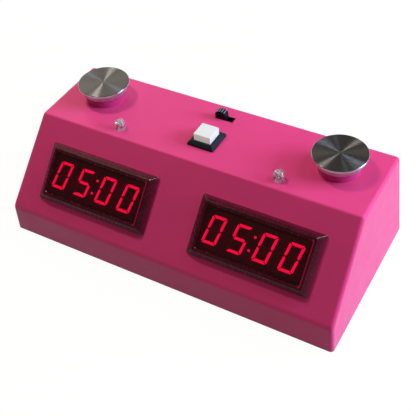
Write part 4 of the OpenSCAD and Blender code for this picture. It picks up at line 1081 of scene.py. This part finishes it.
# each row is what dressNode takes
plainPieces = []
for side in sides:
    button = side + "_button"
    plainPieces += [
        (button + "_plunger", side + "Plunger", [innerPlastic], button, "inner_plastic", 0.3),
        (button + "_guide", side + "Guide", [innerPlastic], "case", "inner_plastic", 0.25),
        (button + "_switch", side + "Switch", [innerPlastic], "case", "inner_plastic", 0.25),
        (side + "_switch_actuator", side + "Actuator", [actuatorPlastic], button, "actuator_plastic", 0.25),
    ]
plainPieces += [
    ("display_pins", "displayPins", [pinMetal], "case", "pin_metal", 0.06),
    ("mode_button_terminals", "modeTerminals", [pinMetal], "case", "pin_metal", 0.08),
    ("power_switch_terminals", "powerTerminals", [pinMetal], "case", "pin_metal", 0.08),
    ("microcontroller", "chip", [chipPlastic, pinMetal], "case", "chip_plastic", 0.08, 2, chipPick),
    ("crystal", "crystalCan", [canMetal], "case", "can_metal", 0.5, 3),
    ("buzzer", "buzzerCan", [innerPlastic], "case", "inner_plastic", 0.4, 3),
    ("ribbon_headers", "ribbonHeaders", [innerPlastic], "case", "inner_plastic", 0.2),
    ("battery_tray", "batteryTray", [innerPlastic], "case", "inner_plastic", 0.3),
    ("battery_contacts", "batteryContacts", [contactMetal], "case", "screw_steel", 0.1),
]
for row in plainPieces:
    dressNode(*row)
print("inner pieces done")

# capacitor with a crimped sleeve and a bare end
capacitor = {"sleeve": (0.02, 0.03, 0.09), "stripe": (0.45, 0.46, 0.48), "stripeAt": 2.75, "crimp": 0.22,
             "crimpAt": 1.1, "crimpHalf": 0.4, "dish": 0.15, "dishEdge": 0.55, "fold": 0.4, "foldOut": 0.12,
             "foldUp": 0.06, "footEdge": 0.35, "topEdge": (0.25, 0.2), "bareBelow": 0.2, "bareIn": 0.5,
             "stripeSpan": (0.4, 0.6), "patch": 2, "rough": (0.28, 0.4), "grain": 0.8, "depth": 0.01}


def sleeveWrap():
    # dark sleeve with one pale stripe down its side
    material, tree, shader = startMaterial("sleeveWrap", {})
    place = addNode(tree, "ShaderNodeTexCoord")
    offset = addVector(tree, "SUBTRACT", {1: middle("capacitor")})
    parts = addNode(tree, "ShaderNodeSeparateXYZ")
    stripe = addMath(tree, "GREATER_THAN", {1: capacitor["stripeAt"] * mm})
    wire(tree, (place, "Object", offset, 0), (offset, "Vector", parts, 0), (parts, "X", stripe, 0))
    colourBetween(tree, shader, stripe.outputs[0], shade(capacitor["sleeve"], 1),
                  shade(capacitor["stripe"], 1), capacitor["stripeSpan"])
    roughBetween(tree, shader, noiseOn(tree, capacitor["patch"]), *capacitor["rough"])
    bumpFrom(tree, shader, noiseOn(tree, capacitor["grain"]), capacitor["depth"])
    return material


def makeCapacitor():
    low, high = boxInMm("capacitor")
    centre = (low + high) / 2
    radius = (high.x - low.x) / 2
    height = high.z - low.z
    groove = height - capacitor["crimpAt"]
    half = capacitor["crimpHalf"]
    edgeIn, edgeDown = capacitor["topEdge"]
    bm = bmesh.new()
    spinProfile(bm, [(0, capacitor["dish"]), (radius - capacitor["dishEdge"], capacitor["dish"]),
                     (radius - capacitor["fold"], 0), (radius - capacitor["foldOut"], capacitor["foldUp"]),
                     (radius, capacitor["footEdge"]), (radius, groove - half),
                     (radius - capacitor["crimp"], groove), (radius, groove + half),
                     (radius, height - edgeDown), (radius - edgeIn, height), (0, height)], 48)
    for face in bm.faces:
        spot = face.calc_center_median()
        bare = spot.z < capacitor["bareBelow"] and spot.xy.length < radius - capacitor["bareIn"]
        face.material_index = 1 if bare else 0
    finishPiece("capacitorCan", bm, [sleeveWrap(), canMetal], "case", ("capacitor",),
                mmFrame @ Matrix.Translation((centre.x, centre.y, low.z)))


makeCapacitor()

# four plain cells with a two-colour wrap; points of the ends are in from the side and from the end
cell = {"nubRadius": 2.7, "nub": 1.3, "nubEdge": 0.3, "nubFoot": (0.6, 0.2), "wrap": (0.50, 0.51, 0.52),
        "band": (0.02, 0.16, 0.19), "bandLength": 13, "lip": 0.5, "bareIn": 0.7,
        "flatEnd": ((2.6, 0.25), (2.3, 0), (0.9, 0), (0.7, 0.12), (0.25, 0.15)),
        "nubEnd": ((0.25, 0.12), (0.75, 0.1), (0.9, 0.35))}
cellWrap, cellBand = (mouldedPlastic("cell" + part.title(), cell[part], roughness=0.3, grain=0.6, depth=0.006,
                                     mottle=0.06, blotch=10) for part in ("wrap", "band"))


def cellProfile(radius, length):
    # from the dished end along the wrap to the end with the nub
    body = length - cell["nub"]
    flatEnd = [(radius - side, end) for side, end in cell["flatEnd"]]
    wrapped = [(radius, cell["lip"]), (radius, body - cell["bandLength"]), (radius, body - cell["lip"])]
    nubEnd = [(radius - side, body - end) for side, end in cell["nubEnd"]]
    out, sunk = cell["nubFoot"]
    nub, edge = cell["nubRadius"], cell["nubEdge"]
    tip = [(nub + out, body - sunk), (nub, body), (nub, length - edge), (nub - edge, length), (0, length)]
    return [(0, flatEnd[0][1])] + flatEnd + wrapped + nubEnd + tip


def makeCells():
    cells = bmesh.new()
    for points in islands("batteries"):
        low, high = pointBox(points)
        centre = (low + high) / 2
        radius = (high.y - low.y) / 2
        length = high.x - low.x
        bandFrom = length - cell["nub"] - cell["bandLength"]
        atHigh = [p / mm for p in points if p.x / mm > high.x - steps["near"]]
        nubHigh = max((p - centre).yz.length for p in atHigh) < cell["nubRadius"] + cell["nubEdge"]
        one = bmesh.new()
        spinProfile(one, cellProfile(radius, length), 64)
        for face in one.faces:
            spot = face.calc_center_median()
            wrapped = spot.xy.length > radius - cell["bareIn"]
            face.material_index = (1 if spot.z > bandFrom else 0) if wrapped else 2
        along = turn(90, "Y") if nubHigh else turn(-90, "Y")
        start = low.x if nubHigh else high.x
        gather(cells, one, Matrix.Translation((start, centre.y, centre.z)) @ along)
    finishPiece("batteryCells", cells, [cellWrap, cellBand, contactMetal], "case",
                ("batteries",))


makeCells()
print("capacitor and cells done")

# ribbon between the boards and the two battery leads, on the routes of their solids
ribbon = {"cores": 16, "width": 20, "core": 1.0, "web": 0.5, "up": 24, "from": -10.45, "reach": 8,
          "to": (-2.2, 35.7), "rise": 11, "grey": (0.30, 0.31, 0.33), "mark": (0.45, 0.02, 0.02)}
leads = {"thick": 1.5, "from": (53, 11.65), "reach": 9, "to": (63.5, 38.7), "rise": 12, "rows": (2.35, 17.65),
         "black": (0.02, 0.02, 0.022), "red": (0.5, 0.015, 0.015)}
ribbonGrey, ribbonMark = (mouldedPlastic("ribbon" + part.title(), ribbon[part], roughness=0.5, mottle=0.08,
                                         blotch=5) for part in ("grey", "mark"))
leadBlack, leadRed = (mouldedPlastic("lead" + part.title(), leads[part], roughness=0.42, grain=0.4,
                                     mottle=0.1, blotch=4) for part in ("black", "red"))


def sweptTubes(routes, thick):
    # round tubes along Bezier routes, each with four guide points in mm and a material number
    curve = bpy.data.curves.new("routes", "CURVE")
    curve.dimensions = "3D"
    curve.bevel_depth = thick / 2
    curve.bevel_resolution = 3
    curve.resolution_u = 16
    curve.use_fill_caps = True
    for (start, startGuide, endGuide, end), number in routes:
        spline = curve.splines.new("BEZIER")
        spline.bezier_points.add(1)
        spline.material_index = number
        for point, place, before, after in zip(spline.bezier_points, (start, end), (start, endGuide),
                                               (startGuide, end)):
            point.co = place
            point.handle_left = before
            point.handle_right = after
    carrier = bpy.data.objects.new("routes", curve)
    scene.collection.objects.link(carrier)
    bpy.context.view_layer.update()
    mesh = bpy.data.meshes.new_from_object(carrier.evaluated_get(bpy.context.evaluated_depsgraph_get()))
    bm = bmesh.new()
    bm.from_mesh(mesh)
    bpy.data.objects.remove(carrier)
    bpy.data.curves.remove(curve)
    bpy.data.meshes.remove(mesh)
    return bm


def ribbonRoute(x):
    onSlope = Matrix.Scale(1 / mm, 4) @ slopeFrame
    start = onSlope @ Vector((x, ribbon["up"], ribbon["from"]))
    startGuide = onSlope @ Vector((x, ribbon["up"], ribbon["from"] - ribbon["reach"]))
    end = Vector((x, *ribbon["to"]))
    return start, startGuide, end - Vector((0, 0, ribbon["rise"])), end


def makeRibbon():
    step = ribbon["width"] / ribbon["cores"]
    places = [(i + 0.5) * step - ribbon["width"] / 2 for i in range(ribbon["cores"])]
    bm = sweptTubes([(ribbonRoute(x), 1 if i == 0 else 0) for i, x in enumerate(places)], ribbon["core"])
    web = sweptTubes([(ribbonRoute(0), 0)], ribbon["web"])
    bmesh.ops.scale(web, vec=((ribbon["width"] - step) / ribbon["web"], 1, 1), verts=web.verts)
    gather(bm, web)
    finishPiece("ribbonCable", bm, [ribbonGrey, ribbonMark], "case", ("ribbon_cable",),
                smooth=60)


def leadRoute(y):
    start = Vector((leads["from"][0], y, leads["from"][1]))
    end = Vector((leads["to"][0], y, leads["to"][1]))
    return start, start + Vector((leads["reach"], 0, 0)), end - Vector((0, 0, leads["rise"])), end


def makeLeads():
    bm = sweptTubes([(leadRoute(y), i) for i, y in enumerate(leads["rows"])], leads["thick"])
    finishPiece("batteryLeads", bm, [leadBlack, leadRed], "case", ("battery_leads",), smooth=60)


makeRibbon()
makeLeads()
print("ribbon and leads done")

print("pieces finished")
